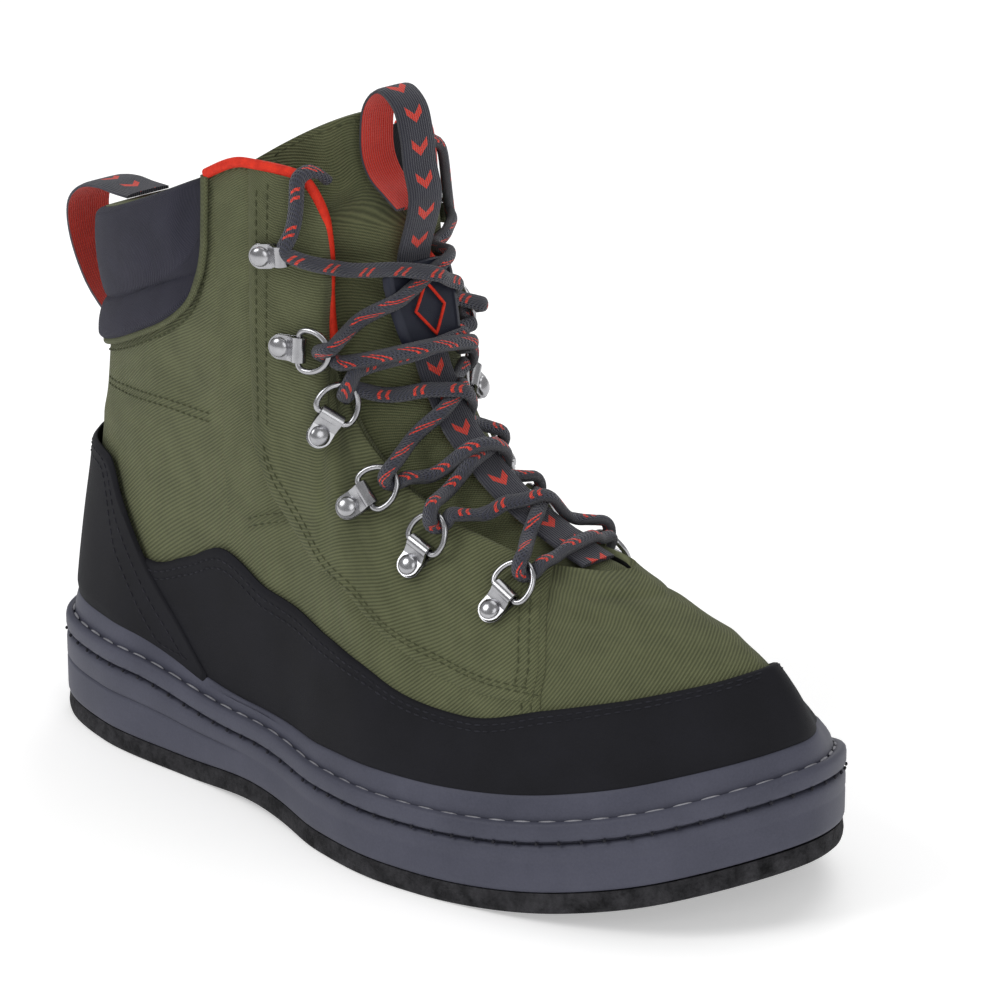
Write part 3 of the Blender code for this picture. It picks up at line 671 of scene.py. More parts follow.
def stitches(name, rows, length, gap, radius, material):
    """Rows of thread stitches; each row is a path and the face direction along it."""
    bm = bmesh.new()
    for path, out in rows:
        run = run_lengths(path)
        at = np.arange(gap, run[-1] - length, length + gap)
        for a in at:
            p0 = np.array([np.interp(a, run, path[:, c]) for c in range(3)])
            p1 = np.array([np.interp(a + length, run, path[:, c]) for c in range(3)])
            o = unit(np.array([np.interp(a, run, out[:, c]) for c in range(3)]))
            t = unit(p1 - p0)
            o = unit(o - t * (o @ t))
            s = np.cross(o, t)
            mid = (p0 + p1) / 2
            m = Matrix(((s[0] * radius, o[0] * radius * .8, t[0] * length / 2, mid[0] - HEEL_CENTRE),
                        (s[1] * radius, o[1] * radius * .8, t[1] * length / 2, mid[1]),
                        (s[2] * radius, o[2] * radius * .8, t[2] * length / 2, mid[2]), (0, 0, 0, 1000)))
            m = Matrix([[x / 1000 for x in row] for row in m])
            bmesh.ops.create_uvsphere(bm, u_segments=6, v_segments=5, radius=1, matrix=m)
    bm.loops.layers.uv.new("weave")
    obj = finish_mesh(name, bm, [material], merge=1e-9, sharp=180)
    return obj


def on_shell(w, v, off):
    """Path on the upper with its face directions."""
    w, v = np.broadcast_arrays(np.asarray(w, float), np.asarray(v, float))
    return shell(w, v, np.full(w.shape, float(off))), shell_normal(w, v)


# ---- sole ------------------------------------------------------------------------------------------

def sole_stack(name, levels, material, replaces, nu=440, crown=None):
    """Wall of levels round the sole edge, closed by sheets laid across from side to side."""
    w = np.linspace(0, 2, nu + 1)
    ins = np.array([i for i, _ in levels])
    wall_grid = np.stack([sole_point(w, np.full(w.shape, float(i)), h) for i, h in levels], 1)
    bm = bmesh.new()
    lay_grid(bm, wall_grid)
    half = nu // 2
    for k in (0, -1):
        outer, inner = wall_grid[:half + 1, k], wall_grid[half:, k][::-1]
        across = np.linspace(0, 1, 41)[None, :, None]
        sheet = outer[:, None] * (1 - across) + inner[:, None] * across
        height = levels[k][1]
        sheet[:, 1:-1, 2] = height(sheet[:, 1:-1, 0])
        lay_grid(bm, sheet)
    obj = finish_mesh(name, bm, [material], merge=2e-5)
    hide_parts(replaces)
    return obj


w_fuzz = lambda x, k: .22 * np.sin(x * .9 + k) + .16 * np.sin(x * 2.3 + 2 * k)
felt_levels = [(1.4, lambda x: ground(x)), (.8, lambda x: ground(x) + .4),
               (.4, lambda x: ground(x) + 1.6), (.2, lambda x: ground(x) + 3.4), (.4, lambda x: ground(x) + 5.2),
               (.7, lambda x: ground(x) + FELT)]
sole_stack("felt_sole", felt_levels, FELT_CLOTH, "felt_outsole")

groove = lambda x: ground(x) + FELT + 3 + (table(x, MIDSOLE)[0] - 3) * .52
deep = lambda x: 1.1 * (1 - step(x, 100, 135))
w_round = np.linspace(0, 2, 441)


def midsole_piece():
    x = edge(w_round)[:, 0]
    d = deep(x) + .02
    low, top = ground(x) + FELT + .3, seat(x)
    g = groove(x)
    rows = [(.9, low), (.35, low + .5), (.05, low + 1.6), (.0, low + 3)]
    rows += [(.0, g - 1.0), (.12 + .1 * d, g - .45), (.1 + .55 * d, g), (.12 + .1 * d, g + .45), (.0, g + 1.0)]
    rows += [(.0, top - 3.4), (.1, top - 2.4), (.5, top - 1.5), (1.3, top - .95), (2.6, top - .9), (3.0, top)]
    grid = []
    for inset, z in rows:
        p = edge(w_round) - edge_normal(w_round) * np.broadcast_to(inset, x.shape)[:, None]
        grid.append(np.concatenate([p, z[:, None]], 1))
    wall_grid = np.stack(grid, 1)
    bm = bmesh.new()
    lay_grid(bm, wall_grid)
    for k in (0, -1):
        outer, inner = wall_grid[:221, k], wall_grid[220:, k][::-1]
        across = np.linspace(0, 1, 21)[None, :, None]
        lay_grid(bm, outer[:, None] * (1 - across) + inner[:, None] * across)
    obj = finish_mesh("midsole_rubber", bm, [RUBBER], merge=2e-5)
    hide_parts("midsole")


midsole_piece()


def welt_piece():
    """Flange with a stitch groove, then a wall that rises to the upper."""
    w = w_round
    x = edge(w)[:, 0]
    s = seat(x)
    tall = welt_tall(w)

    def flat(inset, up):
        p = edge(w) - edge_normal(w) * inset
        return np.concatenate([p, (s + up)[:, None]], 1)

    def face(up, off):
        return shell_curve(w, height_share(w, up)) + shell_normal(w, height_share(w, up)) * off

    rows = [face(1.0, .7), flat(2.2, .25), flat(.9, .3), flat(.15, .9), flat(-.1, 2.0), flat(-.1, 4.6),
            flat(.15, 5.8), flat(.8, 6.5), flat(1.9, 6.7)]
    groove_at = face(5.6, 4.4)
    groove_at[:, 2] = s + 6.5
    groove_low = face(5.6, 3.7)
    groove_low[:, 2] = s + 5.7
    rows += [groove_at, groove_low, face(7.0, 3.5), face(8.2, 3.6), face(10.0, 3.4), face(tall - 1.2, 2.9),
             face(tall - .3, 2.5), face(tall, 1.9), face(tall - .1, .9), face(tall - 2, .6), face(7.0, .6)]
    grid = np.stack(rows + [rows[0]], 1)
    bm = bmesh.new()
    lay_grid(bm, grid)
    obj = finish_mesh("welt_rubber", bm, [RUBBER], merge=2e-5, sharp=60)
    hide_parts("welt")
    line = groove_low.copy()
    line[:, 2] += .75
    line += shell_normal(w, height_share(w, 6.0)) * .35
    up = np.broadcast_to([0, 0, 1.0], line.shape) + shell_normal(w, height_share(w, 6.0)) * .4
    stitches("welt_stitches", [(line, up)], 6.6, 2.2, .55, THREAD_PALE)
    notch = flat(-.05, .1)
    out = np.concatenate([edge_normal(w), np.zeros((len(w), 1))], 1)
    stitches("welt_notches", [(notch, out)], 1.2, 6.4, .7, THREAD_DARK)


welt_piece()
insole_levels = [(11.0, lambda x: seat(x) + .5), (10.6, lambda x: seat(x) + 3.6), (11.0, lambda x: seat(x) + 4.3),
                 (12.0, lambda x: seat(x) + 4.6)]
sole_stack("insole_pad", insole_levels, FOAM, "insole", nu=240)

# ---- upper -----------------------------------------------------------------------------------------
COLUMNS = np.linspace(0, 2, 385)
ROWS = np.linspace(0, 1, 97)
cw, cv = np.meshgrid(COLUMNS, ROWS, indexing="ij")
outer = shell(cw, cv)
inner = shell_curve(cw, cv) - shell_normal(cw, cv) * wall(cw, cv)[..., None]
outer[:, 0], inner[:, 0] = shell_curve(cw[:, 0], cv[:, 0]), inner[:, 0]
two_skins("upper_cloth", outer, inner, [TWILL, LINING], wrap=True, replaces=("upper",))

# Vamp seam: the quarters run forward over the vamp to this line
SEAM = [(0, .78), (.36, .79), (.52, .82), (.78, .86), (1.0, .885)]
seam_u = lambda v: table(v, SEAM)[0]


def quarter(side):
    def wv(s, t):
        v = .12 + t * .868
        v = v - .02 * step(s, .9, 1) * 0
        back = .36 + .0 * v
        u = back + (seam_u(v) - back) * s
        return (u if side > 0 else 2 - u), v
    return wv


for side, label in ((1, "outer"), (-1, "inner")):
    panel("quarter_front_" + label, quarter(side), 120, 60, .1, .9, TWILL, fade=lambda s: step(s, .05, .8))


def stay(side):
    def wv(s, t):
        low = table(.405 + s * .445, STAY_LOW)[0]
        v = low + (.997 - low) * t
        u = .405 + s * (seam_u(v) - .006 - .405)
        return (u if side > 0 else 2 - u), v
    return wv


for side, label in ((1, "outer"), (-1, "inner")):
    panel("lace_stay_" + label, stay(side), 120, 50, .9, 1.0, TWILL,
          replaces=("eyestay_" + label,))


def counter_line(u):
    return table(u, COUNTER_TOP)[0]


def rand_wv(s, t):
    w = .20 + s * 1.60
    u = fold(w)
    low = height_share(w[:, 0], welt_tall(w[:, 0]) - 2.4)[:, None] + 0 * t
    high = table(u, RAND_TOP)[0]
    return w, low + (high - low) * t


panel("toe_rand", rand_wv, 420, 36, 1.0, 1.5, NUBUCK, replaces=("rand",), edge_soft=1.5,
      lift=lambda s, t, w, v: -.9 * (1 - step(t, .02, .12)))


def counter_wv(s, t):
    w = -.325 + s * .65
    u = fold(w)
    low = height_share(w[:, 0], welt_tall(w[:, 0]) - 2.4)[:, None] + 0 * t
    high = np.maximum(counter_line(u), low + .01)
    return w, low + (high - low) * t


panel("heel_counter_nubuck", counter_wv, 200, 40, 1.9, 1.5, NUBUCK, replaces=("heel_counter",),
      edge_soft=1.5, lift=lambda s, t, w, v: -.9 * (1 - step(t, .02, .12)))


def cuff_wv(s, t):
    w = -.351 + s * .702
    low = table(fold(w), CUFF_LOW)[0]
    return w, low + (.999 - low) * t


def cuff_rolls(s, t, w, v):
    split = .785 + .03 * step(fold(w), .1, .35)
    lower = np.clip((v - .68) / (split - .68), 0, 1)
    upper_roll = np.clip((v - split) / (1.0 - split), 0, 1)
    puff = np.where(v < split, 3.0 * np.sqrt(np.clip(np.sin(np.pi * (.12 + .88 * lower)), 0, 1)),
                    3.6 * np.sqrt(np.clip(np.sin(np.pi * (.0 + .93 * upper_roll)), 0, 1)))
    return puff * (1 - step(fold(w), .30, .352) * .75)


panel("collar_pads", cuff_wv, 220, 96, .2, 1.2, NAVY, replaces=("collar_cuff",), edge_soft=2.5,
      lift=cuff_rolls)

# Turned cloth edge round the collar pads, and the red piping
cu = np.linspace(-.351, .351, 260)
cvv = table(fold(cu), CUFF_LOW)[0]
border = [(u, v) for u, v in zip(cu, cvv) if v < .985]
bu, bv = np.array([b[0] for b in border]), np.array([b[1] for b in border])
bu = np.concatenate([[-.352], bu, [.352]])
bv = np.concatenate([[.999], bv, [.999]])
bpath, bout = on_shell(bu, bv, 1.4)
tube("pad_border", bpath, 1.5, 1.1, TWILL, normals=bout)

for side, label in ((1, "outer"), (-1, "inner")):
    us = np.linspace(.352, .585, 120)
    p, o = on_shell(us if side > 0 else 2 - us, np.full(us.shape, 1.0), .6)
    tube("piping_" + label, p + [0, 0, .4], 1.7, 1.7, RED, normals=o)

# Stitch lines on the shell: name of thread, offset, rows of (u, v)
olive_rows, dark_rows = [], []
for side in (1, -1):
    mirror = (lambda u: u) if side > 0 else (lambda u: 2 - u)
    us = np.linspace(.417, .80, 150)
    for shift in (.020, .036):
        low = table(us - .004, STAY_LOW)[0] + shift
        olive_rows.append(on_shell(mirror(us), low, 2.0))
    vs = np.linspace(.575, .975, 90)
    for shift in (.008, .017):
        olive_rows.append(on_shell(mirror(np.full(vs.shape, .405 + shift)), vs, 2.0))
    vs = np.linspace(.44, .96, 110)
    for shift in (.014, .024):
        olive_rows.append(on_shell(mirror(seam_u(vs) - shift), vs, 2.0))
    vs = np.linspace(.34, .40, 20)
    for shift in (.008, .017):
        olive_rows.append(on_shell(mirror(seam_u(vs) - shift), vs, 1.1))
    us = np.linspace(.115, .345, 80)
    for shift in (0, .014):
        olive_rows.append(on_shell(mirror(us), .60 - (us - .115) * .18 + shift, .25))
    us = np.linspace(.39, .445, 30)
    for shift in (0, .014):
        olive_rows.append(on_shell(mirror(us), .395 + (us - .39) * .9 + shift, 1.1))
    us = np.linspace(.245, .995, 260)
    for shift in (.018, .034):
        dark_rows.append(on_shell(mirror(us), table(us, RAND_TOP)[0] - shift, 2.55))
    us = np.linspace(.0, .305, 120)
    for shift in (.016, .034):
        dark_rows.append(on_shell(mirror(us), np.maximum(counter_line(us) - shift * (1 + 2.6 * step(us, .15, .2)),
                                                         .10), 3.45))
stitches("cloth_stitches", olive_rows, 2.3, .9, .33, THREAD_OLIVE)
stitches("nubuck_stitches", dark_rows, 2.3, .9, .33, THREAD_DARK)
us = np.linspace(-.345, .345, 240)
border_rows = [on_shell(us, np.minimum(table(fold(us), CUFF_LOW)[0] - .022, .96), .3)]
stitches("border_stitches", border_rows, 2.3, .9, .33, THREAD_OLIVE)

# ---- tongue ----------------------------------------------------------------------------------------

def tongue_row(u):
    left, right = [shell_curve(w, 1) - shell_normal(w, 1.0) * (wall(w, 1) + 1.4) for w in (u, 2 - u)]
    deep_share = .12 if u < .9 else .08
    under = [shell_curve(w, 1 - deep_share) - shell_normal(w, 1 - deep_share) * (wall(w, 1 - deep_share) + 1.9)
             for w in (u, 2 - u)]
    along = shell_curve(min(u + .02, 1), 1.0) - shell_curve(u - .02, 1.0)
    ahead = unit(np.array([-along[2], 0, along[0]]))
    ahead = ahead if ahead[0] + ahead[2] > 0 else -ahead
    middle = (left + right) / 2 + ahead * (table(u, TONGUE_BULGE)[0] + 2)
    return spline([under[0], left, middle, right, under[1]], 8)


key_rows = [tongue_row(u) for u in THROAT]
spread = np.linspace(-1, 1, 33)
for x, z, half, drop, sink in ((142, 209.5, 22, 19, 11), (138.8, 221, 25, 23, 13), (138.5, 231, 26, 26, 16)):
    arc = [(x - drop * abs(t) ** 1.6, half * t - 3, z - sink * t * t) for t in spread]
    key_rows.insert(0, np.array(arc))
key_rows = np.array(key_rows)
tongue_grid = np.stack([spline(key_rows[:, j], 5) for j in range(33)], 1)


def grid_normals(g):
    n = unit(np.cross(np.gradient(g, axis=0), np.gradient(g, axis=1)))
    return n if n[len(g) // 2, g.shape[1] // 2, 0] > 0 else -n


tongue_out = grid_normals(tongue_grid)
rows_n = len(tongue_grid)
taper = (.35 + .65 * step(np.arange(rows_n), 0, 9))[:, None, None]
soft = .5 * np.sin(np.arange(rows_n) * .5)[:, None, None] * np.cos(spread * 2.0)[None, :, None]
outer_t = tongue_grid + tongue_out * (soft * .8)
inner_t = tongue_grid - tongue_out * TONGUE_THICK * taper
tongue_obj = two_skins("tongue_pad", outer_t, inner_t, [TONGUE_TWILL, LINING], replaces=("tongue",))
rim_path = np.concatenate([outer_t[7:0:-1, 2], outer_t[1, 2:-2], outer_t[1:8, -3]])
rim_out = np.concatenate([tongue_out[7:0:-1, 2], tongue_out[1, 2:-2], tongue_out[1:8, -3]])
stitches("tongue_stitches", [(spline(rim_path, 2) + .15, spline(rim_out, 2))], 2.3, .9, .33, THREAD_OLIVE)

# ---- webbing ---------------------------------------------------------------------------------------

def band(name, path, out, half, thick, materials, replaces):
    """Flat tape: its face and back are two skins."""
    s = np.linspace(-1, 1, 9)
    crown = (1 - np.abs(s) ** 6) * .35 + .65
    across = np.array([0, 1.0, 0])
    face = np.stack([path + across * half * k + out * thick * c for k, c in zip(s, crown)], 0)
    back = np.stack([path + across * half * k for k in s], 0)
    return two_skins(name, face, back, materials, replaces=replaces)


def path_normals(path):
    t = np.gradient(path, axis=0)
    return unit(np.stack([-t[:, 2], np.zeros(len(t)), t[:, 0]], 1))


spine, spine_n = outer_t[:, 16], unit(tongue_out[:, 16] * [1, 0, 1])
strap_run = [spine[k] + spine_n[k] * .9 for k in range(19, 75, 3)]
strap_front = [(158, -3, 204.5), (152.5, -3, 207.8), (146, -3, 212), (142.6, -3, 217.5), (141.8, -3, 225),
               (143.6, -3, 235), (149.5, -3, 240.3), (156.3, -3, 236.5), (159.4, -3, 228), (161, -3, 218),
               (163.3, -3, 208)]
strap_path = spline([np.array(p, float) for p in strap_front] + strap_run, 5)
strap_obj = band("strap_webbing", strap_path, path_normals(strap_path), 6.8, 1.4, [WEBBING, WEBBING_RED],
                 ("tongue_strap",))

back_heights = shell_curve(0.0, np.linspace(.4, 1, 61))[:, 2]
tab_feet = [shell_curve(0.0, float(np.interp(z, back_heights, np.linspace(.4, 1, 61))))
            + shell_normal(0.0, float(np.interp(z, back_heights, np.linspace(.4, 1, 61)))) * .9
            for z in (115, 122, 129)]
tab_path = spline(tab_feet + [(2, 0, 146), (-6, 0, 162), (-6, 0, 172), (0, 0, 178), (9, 0, 179.9),
                              (17, 0, 179.6), (25, 0, 179.6)], 6)
band("heel_tab_webbing", tab_path, path_normals(tab_path), 9.0, 1.4, [WEBBING, WEBBING_RED], ("heel_tab",))


# ---- clips and rings -------------------------------------------------------------------------------

def tree(objects):
    points, faces = [], []
    for o in objects:
        base = len(points)
        points += [Vector((v.co.x * 1000 + HEEL_CENTRE, v.co.y * 1000, v.co.z * 1000)) for v in o.data.vertices]
        faces += [tuple(base + k for k in p.vertices) for p in o.data.polygons]
    return BVHTree.FromPolygons(points, faces)


leather = tree([bpy.data.objects[n] for n in ("upper", "eyestay_outer", "eyestay_inner")])
R_OUT = WIRE + .4 + CLIP_SHEET


def clip_frame(w, v, rw, rv):
    plate, ring = shell_curve(w, v), shell_curve(rw, rv)
    n = shell_normal((w + rw) / 2, (v + rv) / 2)
    d = ring - plate
    d = unit(d - n * (d @ n))
    across = np.cross(n, d)
    bar = plate + d * 6.5
    low = -50.0
    for a in np.linspace(-CLIP_BACK, 2.2, 7):
        for b in (-CLIP_WIDTH / 2, 0, CLIP_WIDTH / 2):
            start = bar + d * a + across * b + n * 25
            hit = leather.ray_cast(Vector(start), Vector(-n), 60)
            if hit[0] is not None:
                low = max(low, 25 - hit[3] + (0 if a < .5 else -.5))
    return bar + n * (low + R_OUT + .35), d, across, n


def clip_piece(name, bar, d, across, n, hook, node):
    """Plate with a round back end, folded over the ring's bar and held by a domed rivet."""
    bm = bmesh.new()
    turn_matrix = Matrix(((d[0], across[0], n[0], bar[0] - HEEL_CENTRE), (d[1], across[1], n[1], bar[1]),
                          (d[2], across[2], n[2], bar[2]), (0, 0, 0, 1000)))
    turn_matrix = Matrix([[x / 1000 for x in row] for row in turn_matrix])
    half = CLIP_WIDTH / 2
    for base, top, back in ((-R_OUT, -R_OUT + CLIP_SHEET, CLIP_BACK), (-1.0, 0.0, CLIP_BACK - .3)):
        made = bmesh.ops.create_circle(bm, cap_ends=True, segments=40, radius=half)
        for v in made["verts"]:
            if v.co.x > -.01:
                v.co.x = 0 if base < -1.5 else -3.4
            else:
                v.co.x = v.co.x - (back - half)
            v.co.z = base
        f = made["verts"][0].link_faces[0]
        up = bmesh.ops.extrude_face_region(bm, geom=[f])
        moved = [g for g in up["geom"] if isinstance(g, bmesh.types.BMVert)]
        bmesh.ops.translate(bm, vec=(0, 0, top - base), verts=moved)
    curl = []
    for a in range(-90, 151, 12):
        curl.append((math.radians(a), 1.0))
    r_in = WIRE + .4
    outer_pts = [(R_OUT * math.cos(a), R_OUT * math.sin(a)) for a, _ in curl] + [(-4.3, 0.0)]
    inner_pts = [(r_in * math.cos(a), r_in * math.sin(a)) for a, _ in curl] + [(-3.4, -1.0)]
    grid = np.array([[(p[0], y, p[1]) for y in (-half, half)] for p in outer_pts])
    back_grid = np.array([[(p[0], y, p[1]) for y in (-half, half)] for p in inner_pts])
    ring_pts = np.concatenate([grid, back_grid[::-1], grid[:1]], 0)
    spot = lay_grid(bm, ring_pts)
    for v, (i, j) in spot.items():
        v.co = Vector(ring_pts[i, j])
    for j in (0, 1):
        rim = [v for v, (i, k) in spot.items() if k == j]
    dome = bmesh.ops.create_uvsphere(bm, u_segments=24, v_segments=14, radius=1,
                                     matrix=Matrix.Translation((-7, 0, .0)) @ Matrix.Diagonal((3.3, 3.3, 1.7, 1)))
    collar = bmesh.ops.create_cone(bm, cap_ends=True, segments=28, radius1=3.4, radius2=3.1, depth=.5,
                                   matrix=Matrix.Translation((-7, 0, .15)))
    bmesh.ops.remove_doubles(bm, verts=list(spot), dist=.001)
    bmesh.ops.holes_fill(bm, edges=[e for e in bm.edges if len(e.link_faces) == 1], sides=0)
    if hook:
        for v in bm.verts:
            if v.co.x > -2.2:
                v.co.y *= .82
    bmesh.ops.transform(bm, matrix=turn_matrix, verts=bm.verts)
    obj = finish_mesh(name, bm, [STEEL], merge=1e-7, sharp=35)
    soft_edge = obj.modifiers.new("soft_edges", "BEVEL")
    soft_edge.width, soft_edge.segments, soft_edge.limit_method = .00022, 2, "ANGLE"
    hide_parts(node)
    return obj


ring_path = spline([(0, -5), (0, -2.5), (0, 0), (0, 2.5), (0, 5), (1.4, 6.3), (4.6, 6.5), (8, 5.2), (10.4, 2.8),
                    (11.2, 0), (10.4, -2.8), (8, -5.2), (4.6, -6.5), (1.4, -6.3)], 5, closed=True)
RING_TILT = math.radians(8)


def ring_lean(bar, d, across, n):
    """Way the ring lies from its bar: tilted up until its wire clears the facing."""
    tilt = RING_TILT
    while tilt < .7:
        lean = d * math.cos(tilt) + n * math.sin(tilt)
        low = min(leather.find_nearest(Vector(bar + lean * q[0] + across * q[1]))[3] for q in ring_path)
        if low > WIRE + .3:
            break
        tilt += .03
    return lean
rings, hardware = {}, []
for k, (cu_, cv_, ru_, rv_) in enumerate(CLIPS):
    for side, sign in (("outer", 1), ("inner", -1)):
        w, rw = (cu_, ru_) if sign > 0 else (2 - cu_, 2 - ru_)
        bar, d, across, n = clip_frame(w, cv_, rw, rv_)
        node = ("lace_hook_%s" % side) if k == 0 else "lace_clip_%s_%d" % (side, k)
        hardware.append(clip_piece("steel_" + node, bar, d, across, n, k == 0, node))
        lean = ring_lean(bar, d, across, n)
        if k:
            hardware.append(tube("steel_d_ring_%s_%d" % (side, k),
                                 [bar + lean * q[0] + across * q[1] for q in ring_path], WIRE, WIRE, STEEL,
                                 normal=np.cross(lean, across), closed=True, around=14,
                                 replaces=("d_ring_%s_%d" % (side, k),)))
        along = unit(shell_curve(rw + .02 * sign, .95) - shell_curve(rw - .02 * sign, .95))
        rings[side, k] = (bar, lean, along, n, across)

# ---- badge -----------------------------------------------------------------------------------------

def badge_piece():
    """Rubber patch on the strap with a raised rim and a plain diamond outline."""
    k = int(np.argmin(abs(strap_path[:, 2] - 172) + (strap_path[:, 0] < 150) * 99))
    at = strap_path[k] + path_normals(strap_path)[k] * 1.6
    up = unit(strap_path[k - 6] - strap_path[k + 6])
    out = path_normals(strap_path)[k]
    side = np.cross(up, out)
    place = Matrix(((side[0], up[0], out[0], at[0] - HEEL_CENTRE), (side[1], up[1], out[1], at[1]),
                    (side[2], up[2], out[2], at[2]), (0, 0, 0, 1000)))
    place = Matrix([[x / 1000 for x in row] for row in place])
    outline = spline([(-13.5, 12), (-12, 14), (12, 14), (13.5, 12), (10.8, -12), (9, -14), (-9, -14),
                      (-10.8, -12)], 6, closed=True)
    bm = bmesh.new()
    made = bmesh.ops.create_circle(bm, cap_ends=True, segments=len(outline), radius=1)
    order = sorted(made["verts"], key=lambda v: math.atan2(v.co.y, v.co.x))
    flat = sorted(outline.tolist(), key=lambda p: math.atan2(p[1], p[0]))
    for v, p in zip(order, flat):
        v.co = Vector((p[0], p[1], 0))
    face = made["verts"][0].link_faces[0]
    for inset, lift in ((0, 2.4), (.5, .5), (1.3, 0), (.4, -.7)):
        if inset:
            bmesh.ops.inset_region(bm, faces=[face], thickness=inset, depth=0)
        if lift:
            if not inset:
                grown = bmesh.ops.extrude_face_region(bm, geom=[face])
                face = [g for g in grown["geom"] if isinstance(g, bmesh.types.BMFace)][0]
                bmesh.ops.translate(bm, vec=(0, 0, lift), verts=face.verts)
            else:
                bmesh.ops.translate(bm, vec=(0, 0, lift), verts=face.verts)
    for v in bm.verts:
        v.co.z -= .012 * v.co.x ** 2
    bmesh.ops.transform(bm, matrix=place, verts=bm.verts)
    bmesh.ops.holes_fill(bm, edges=[e for e in bm.edges if len(e.link_faces) == 1], sides=0)
    badge = finish_mesh("tongue_badge", bm, [BADGE_RUBBER], merge=1e-7, sharp=40)
    shape = [(0, 8.5), (6.2, 0), (0, -8.5), (-6.2, 0)]
    line = []
    for a, b in zip(shape, shape[1:] + shape[:1]):
        for t in np.linspace(0, 1, 12, endpoint=False):
            x, y = a[0] + (b[0] - a[0]) * t, a[1] + (b[1] - a[1]) * t
            line.append(at + side * x + up * y + out * (2.35 - .012 * x * x))
    tube("badge_diamond", line, .55, .45, RED, normal=out, around=8, closed=True)
    return badge


badge = badge_piece()

# ---- lace ------------------------------------------------------------------------------------------
LACE_A, LACE_B = 2.5, 1.75
tongue_tree = tree([tongue_obj])
solid = [tongue_obj, strap_obj, badge] + [bpy.data.objects[n] for n in (
    "upper_cloth", "lace_stay_outer", "lace_stay_inner")]
laid_paths = []


def laid(start, end, faces, extra, count=29):
    """Strand let down from outside until it rests on what lies below it."""
    t = np.linspace(0, 1, count)
    path = start + (end - start) * t[:, None]
    foot, n, _, _ = tongue_tree.find_nearest(Vector((start + end) / 2))
    middle = unit(np.array([abs(n.x), 0.0, abs(n.z)]))
    share = np.sin(np.pi * t)[:, None] ** .7
    ends = np.where((t < .5)[:, None], faces[0], faces[1])
    out = unit(middle * share + ends * (1 - share))
    lifts = np.zeros(count)
    for k in range(1, count - 1):
        high = 26.0
        while high > -1:
            p = path[k] + out[k] * (high - .3)
            near = solid_tree.find_nearest(Vector(p))[3] < LACE_B + .15
            if not near:
                for other in extra:
                    if np.min(np.linalg.norm(other - p, axis=1)) < 2 * LACE_B + .5:
                        near = True
                        break
            if near:
                break
            high -= .3
        lifts[k] = max(high, 0)
    smooth = lifts.copy()
    for _ in range(6):
        flat = np.convolve(np.pad(smooth, 1, mode="edge"), [.25, .5, .25], "valid")
        flat[0] = flat[-1] = 0
        smooth = np.maximum(flat, lifts)
    smooth[0] = smooth[-1] = 0
    return path + out * smooth[:, None], out


solid_tree = tree(solid)


def ring_spot(side, k, lower):
    """Where the cord leaves the ring: over its wire on the upper pass, under it on the lower pass."""
    bar, lean, along, n, across = rings[side, k]
    if k == 0:
        return bar + lean * 4.6 + n * .8 + along * (2.4 if lower else -2.2)
    tip = bar + lean * (RING_DEPTH + .3)
    return tip + lean * 2.6 + along * (2.7 if lower else -2.7) + n * (-.6 if lower else 2.4)


def strand(one, other):
    start, end = ring_spot(*one), ring_spot(*other)
    path, out = laid(start, end, (rings[one[0], one[1]][3], rings[other[0], other[1]][3]), laid_paths)
    laid_paths.append(path[2:-2])
    return path


first, second = {}, {}
for k in range(5, 0, -1):
    first[k] = strand(("outer", k, False), ("inner", k - 1, True))
    second[k] = strand(("outer", k - 1, True), ("inner", k, False))
bar_path = strand(("outer", 5, True), ("inner", 5, True))


def through(side, k, downwards):
    """Cord inside the ring: over the wire, down through the opening and out below."""
    bar, lean, along, n, across = rings[side, k]
    tip = bar + lean * (RING_DEPTH + .3)
    pts = [tip + along * -1.9 + n * 3.0, tip - lean * 2.9 + along * -1.0 + n * 1.7,
           tip - lean * 4.0 + n * -.3, tip - lean * 2.6 + along * 1.2 + n * -2.2,
           tip + along * 2.2 + n * -2.5]
    return pts if downwards else pts[::-1]


def hook_end(side):
    """Free end from the hook up over the collar's front edge and into the boot."""
    bar, lean, along, n, across = rings[side, 0]
    sign = 1 if side == "outer" else -1
    us = (.448, .452, .452, .450)
    pts = [shell_curve(u if sign > 0 else 2 - u, v) + shell_normal(u if sign > 0 else 2 - u, v) * o
           for u, v, o in zip(us, (.90, .945, .985, 1.0), (5.4, 5.0, 4.6, 3.6))]
    inside = shell_curve(us[-1] if sign > 0 else 2 - us[-1], 1.0)
    pts.append(inside + [2, 3.5 * sign, 2.4])
    pts.append(inside + [3, 9 * sign, -2.5])
    return [bar + lean * 3.4 + n * .4 + along * -3.6] + pts


cord = hook_end("outer")[::-1] + [rings["outer", 0][0] + rings["outer", 0][1] * 3.2 + rings["outer", 0][3] * .2]
cord += list(second[1])
for k in range(1, 5):
    side = "inner" if k % 2 else "outer"
    cord += through(side, k, True)
    cord += list(first[k + 1][::-1]) if side == "inner" else list(second[k + 1])
cord += through("inner", 5, True) + list(bar_path[::-1]) + through("outer", 5, False)
for k in range(5, 0, -1):
    side = "outer" if k % 2 else "inner"
    cord += list(first[k]) if side == "outer" else list(second[k][::-1])
    if k > 1:
        cord += through("inner" if side == "outer" else "outer", k - 1, False)
cord += [rings["inner", 0][0] + rings["inner", 0][1] * 3.2 + rings["inner", 0][3] * .2] + hook_end("inner")
cord = np.array(cord)
keep = [0]
for k in range(1, len(cord)):
    if np.linalg.norm(cord[k] - cord[keep[-1]]) > 1.6:
        keep.append(k)
cord = spline(cord[keep], 3)
for _ in range(4):
    cord[1:-1] = (cord[:-2] + cord[1:-1] * 2 + cord[2:]) / 4
lace_n = []
tall_tree = tree([tongue_obj, bpy.data.objects["upper_cloth"]])
for p in cord:
    hit = tall_tree.find_nearest(Vector(p))
    lace_n.append(unit(p - np.array(hit[0])))
lace_n = np.array(lace_n)
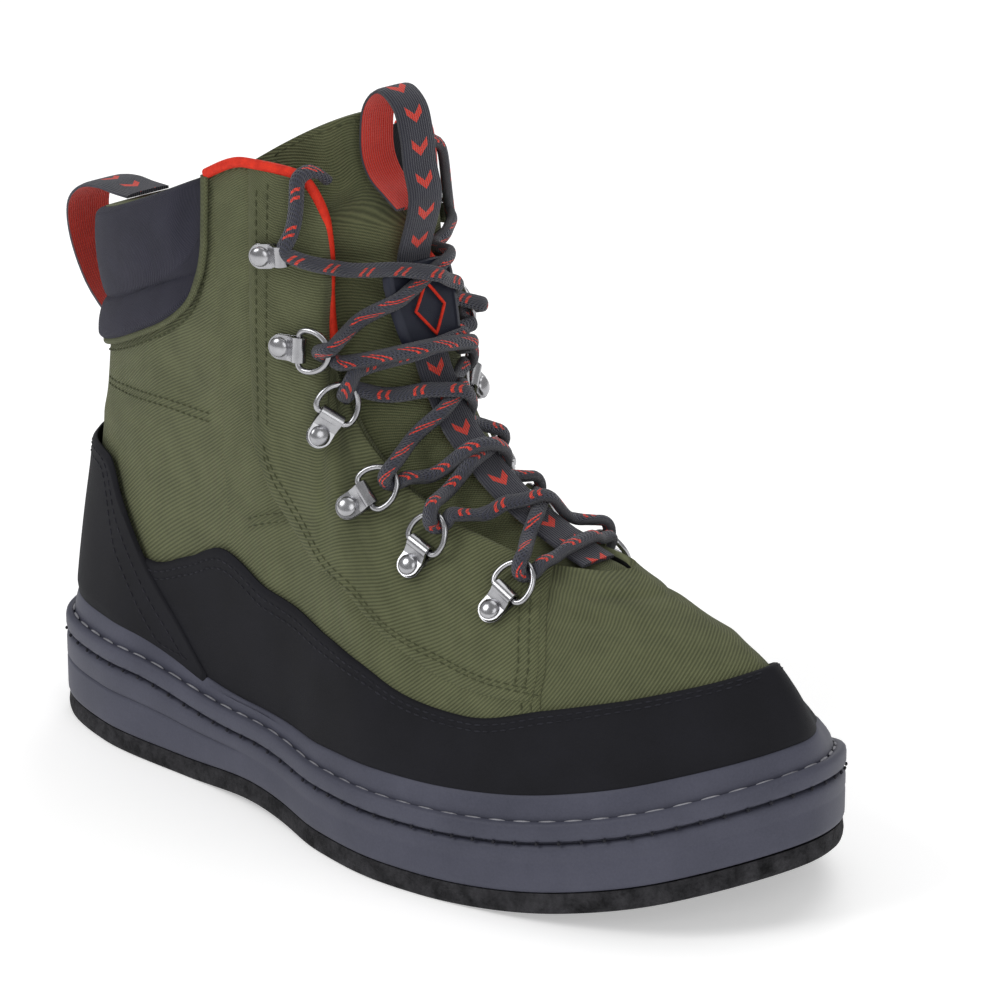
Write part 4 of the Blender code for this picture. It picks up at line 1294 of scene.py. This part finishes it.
for _ in range(10):
    lace_n[1:-1] = unit(lace_n[:-2] + lace_n[1:-1] * 2 + lace_n[2:])
tube("lace_cord", cord, LACE_A, LACE_B, LACE_CLOTH, normals=lace_n, around=14, replaces=("lace",))

# ---- stage -----------------------------------------------------------------------------------------

def stage_piece():
    bm = bmesh.new()
    bmesh.ops.create_grid(bm, x_segments=1, y_segments=1, size=6)
    mesh = bpy.data.meshes.new("floor")
    bm.to_mesh(mesh)
    bm.free()
    floor = bpy.data.objects.new("floor", mesh)
    m = bpy.data.materials.new("pale_floor")
    m.use_nodes = True
    m.node_tree.nodes["Principled BSDF"].inputs["Base Color"].default_value = (.86, .86, .86, 1)
    m.node_tree.nodes["Principled BSDF"].inputs["Roughness"].default_value = .9
    m.node_tree.nodes["Principled BSDF"].inputs["Emission Color"].default_value = (1, 1, 1, 1)
    m.node_tree.nodes["Principled BSDF"].inputs["Emission Strength"].default_value = .38
    mesh.materials.append(m)
    bpy.context.scene.collection.objects.link(floor)


stage_piece()


def lamp(name, place, aim, size, power):
    data = bpy.data.lights.new(name, "AREA")
    data.shape, data.size, data.energy = "DISK", size, power
    o = bpy.data.objects.new(name, data)
    o.location = place
    o.rotation_euler = (Vector(place) - Vector(aim)).to_track_quat("Z", "Y").to_euler()
    bpy.context.scene.collection.objects.link(o)


lamp("key", (-.5, -1.5, 1.5), (.1, 0, .1), 1.1, 15)
lamp("fill", (1.8, -.7, 1.0), (.1, 0, .1), 1.4, 8)
lamp("top", (.2, .5, 2.0), (.1, 0, .1), 1.6, 9)
lamp("rim", (-.9, 1.4, 1.0), (.1, 0, .1), .8, 5)
world = bpy.data.worlds.new("studio")
bpy.context.scene.world = world
world.use_nodes = True
world.node_tree.nodes["Background"].inputs[0].default_value = (1, 1, 1, 1)
world.node_tree.nodes["Background"].inputs[1].default_value = .42
bpy.context.scene.view_settings.view_transform = "Standard"

# Camera at the photograph's angle, framing the one boot
AZIMUTH, ELEVATION, DISTANCE = math.radians(47.23), math.radians(20.0), 1.6
LENS = 178.6
back = Vector((math.sin(AZIMUTH) * math.cos(ELEVATION), -math.cos(AZIMUTH) * math.cos(ELEVATION),
               math.sin(ELEVATION)))
right = Vector((math.cos(AZIMUTH), math.sin(AZIMUTH), 0))
up = back.cross(right)
look = right * .01925 + up * .00176 - back
camera = bpy.data.objects.new("camera", bpy.data.cameras.new("camera"))
camera.location = Vector((.105, 0, .1)) + back * DISTANCE
camera.data.lens = LENS
camera.data.clip_start = .05
camera.rotation_euler = (-look).to_track_quat("Z", "Y").to_euler()
bpy.context.scene.collection.objects.link(camera)
bpy.context.scene.camera = camera
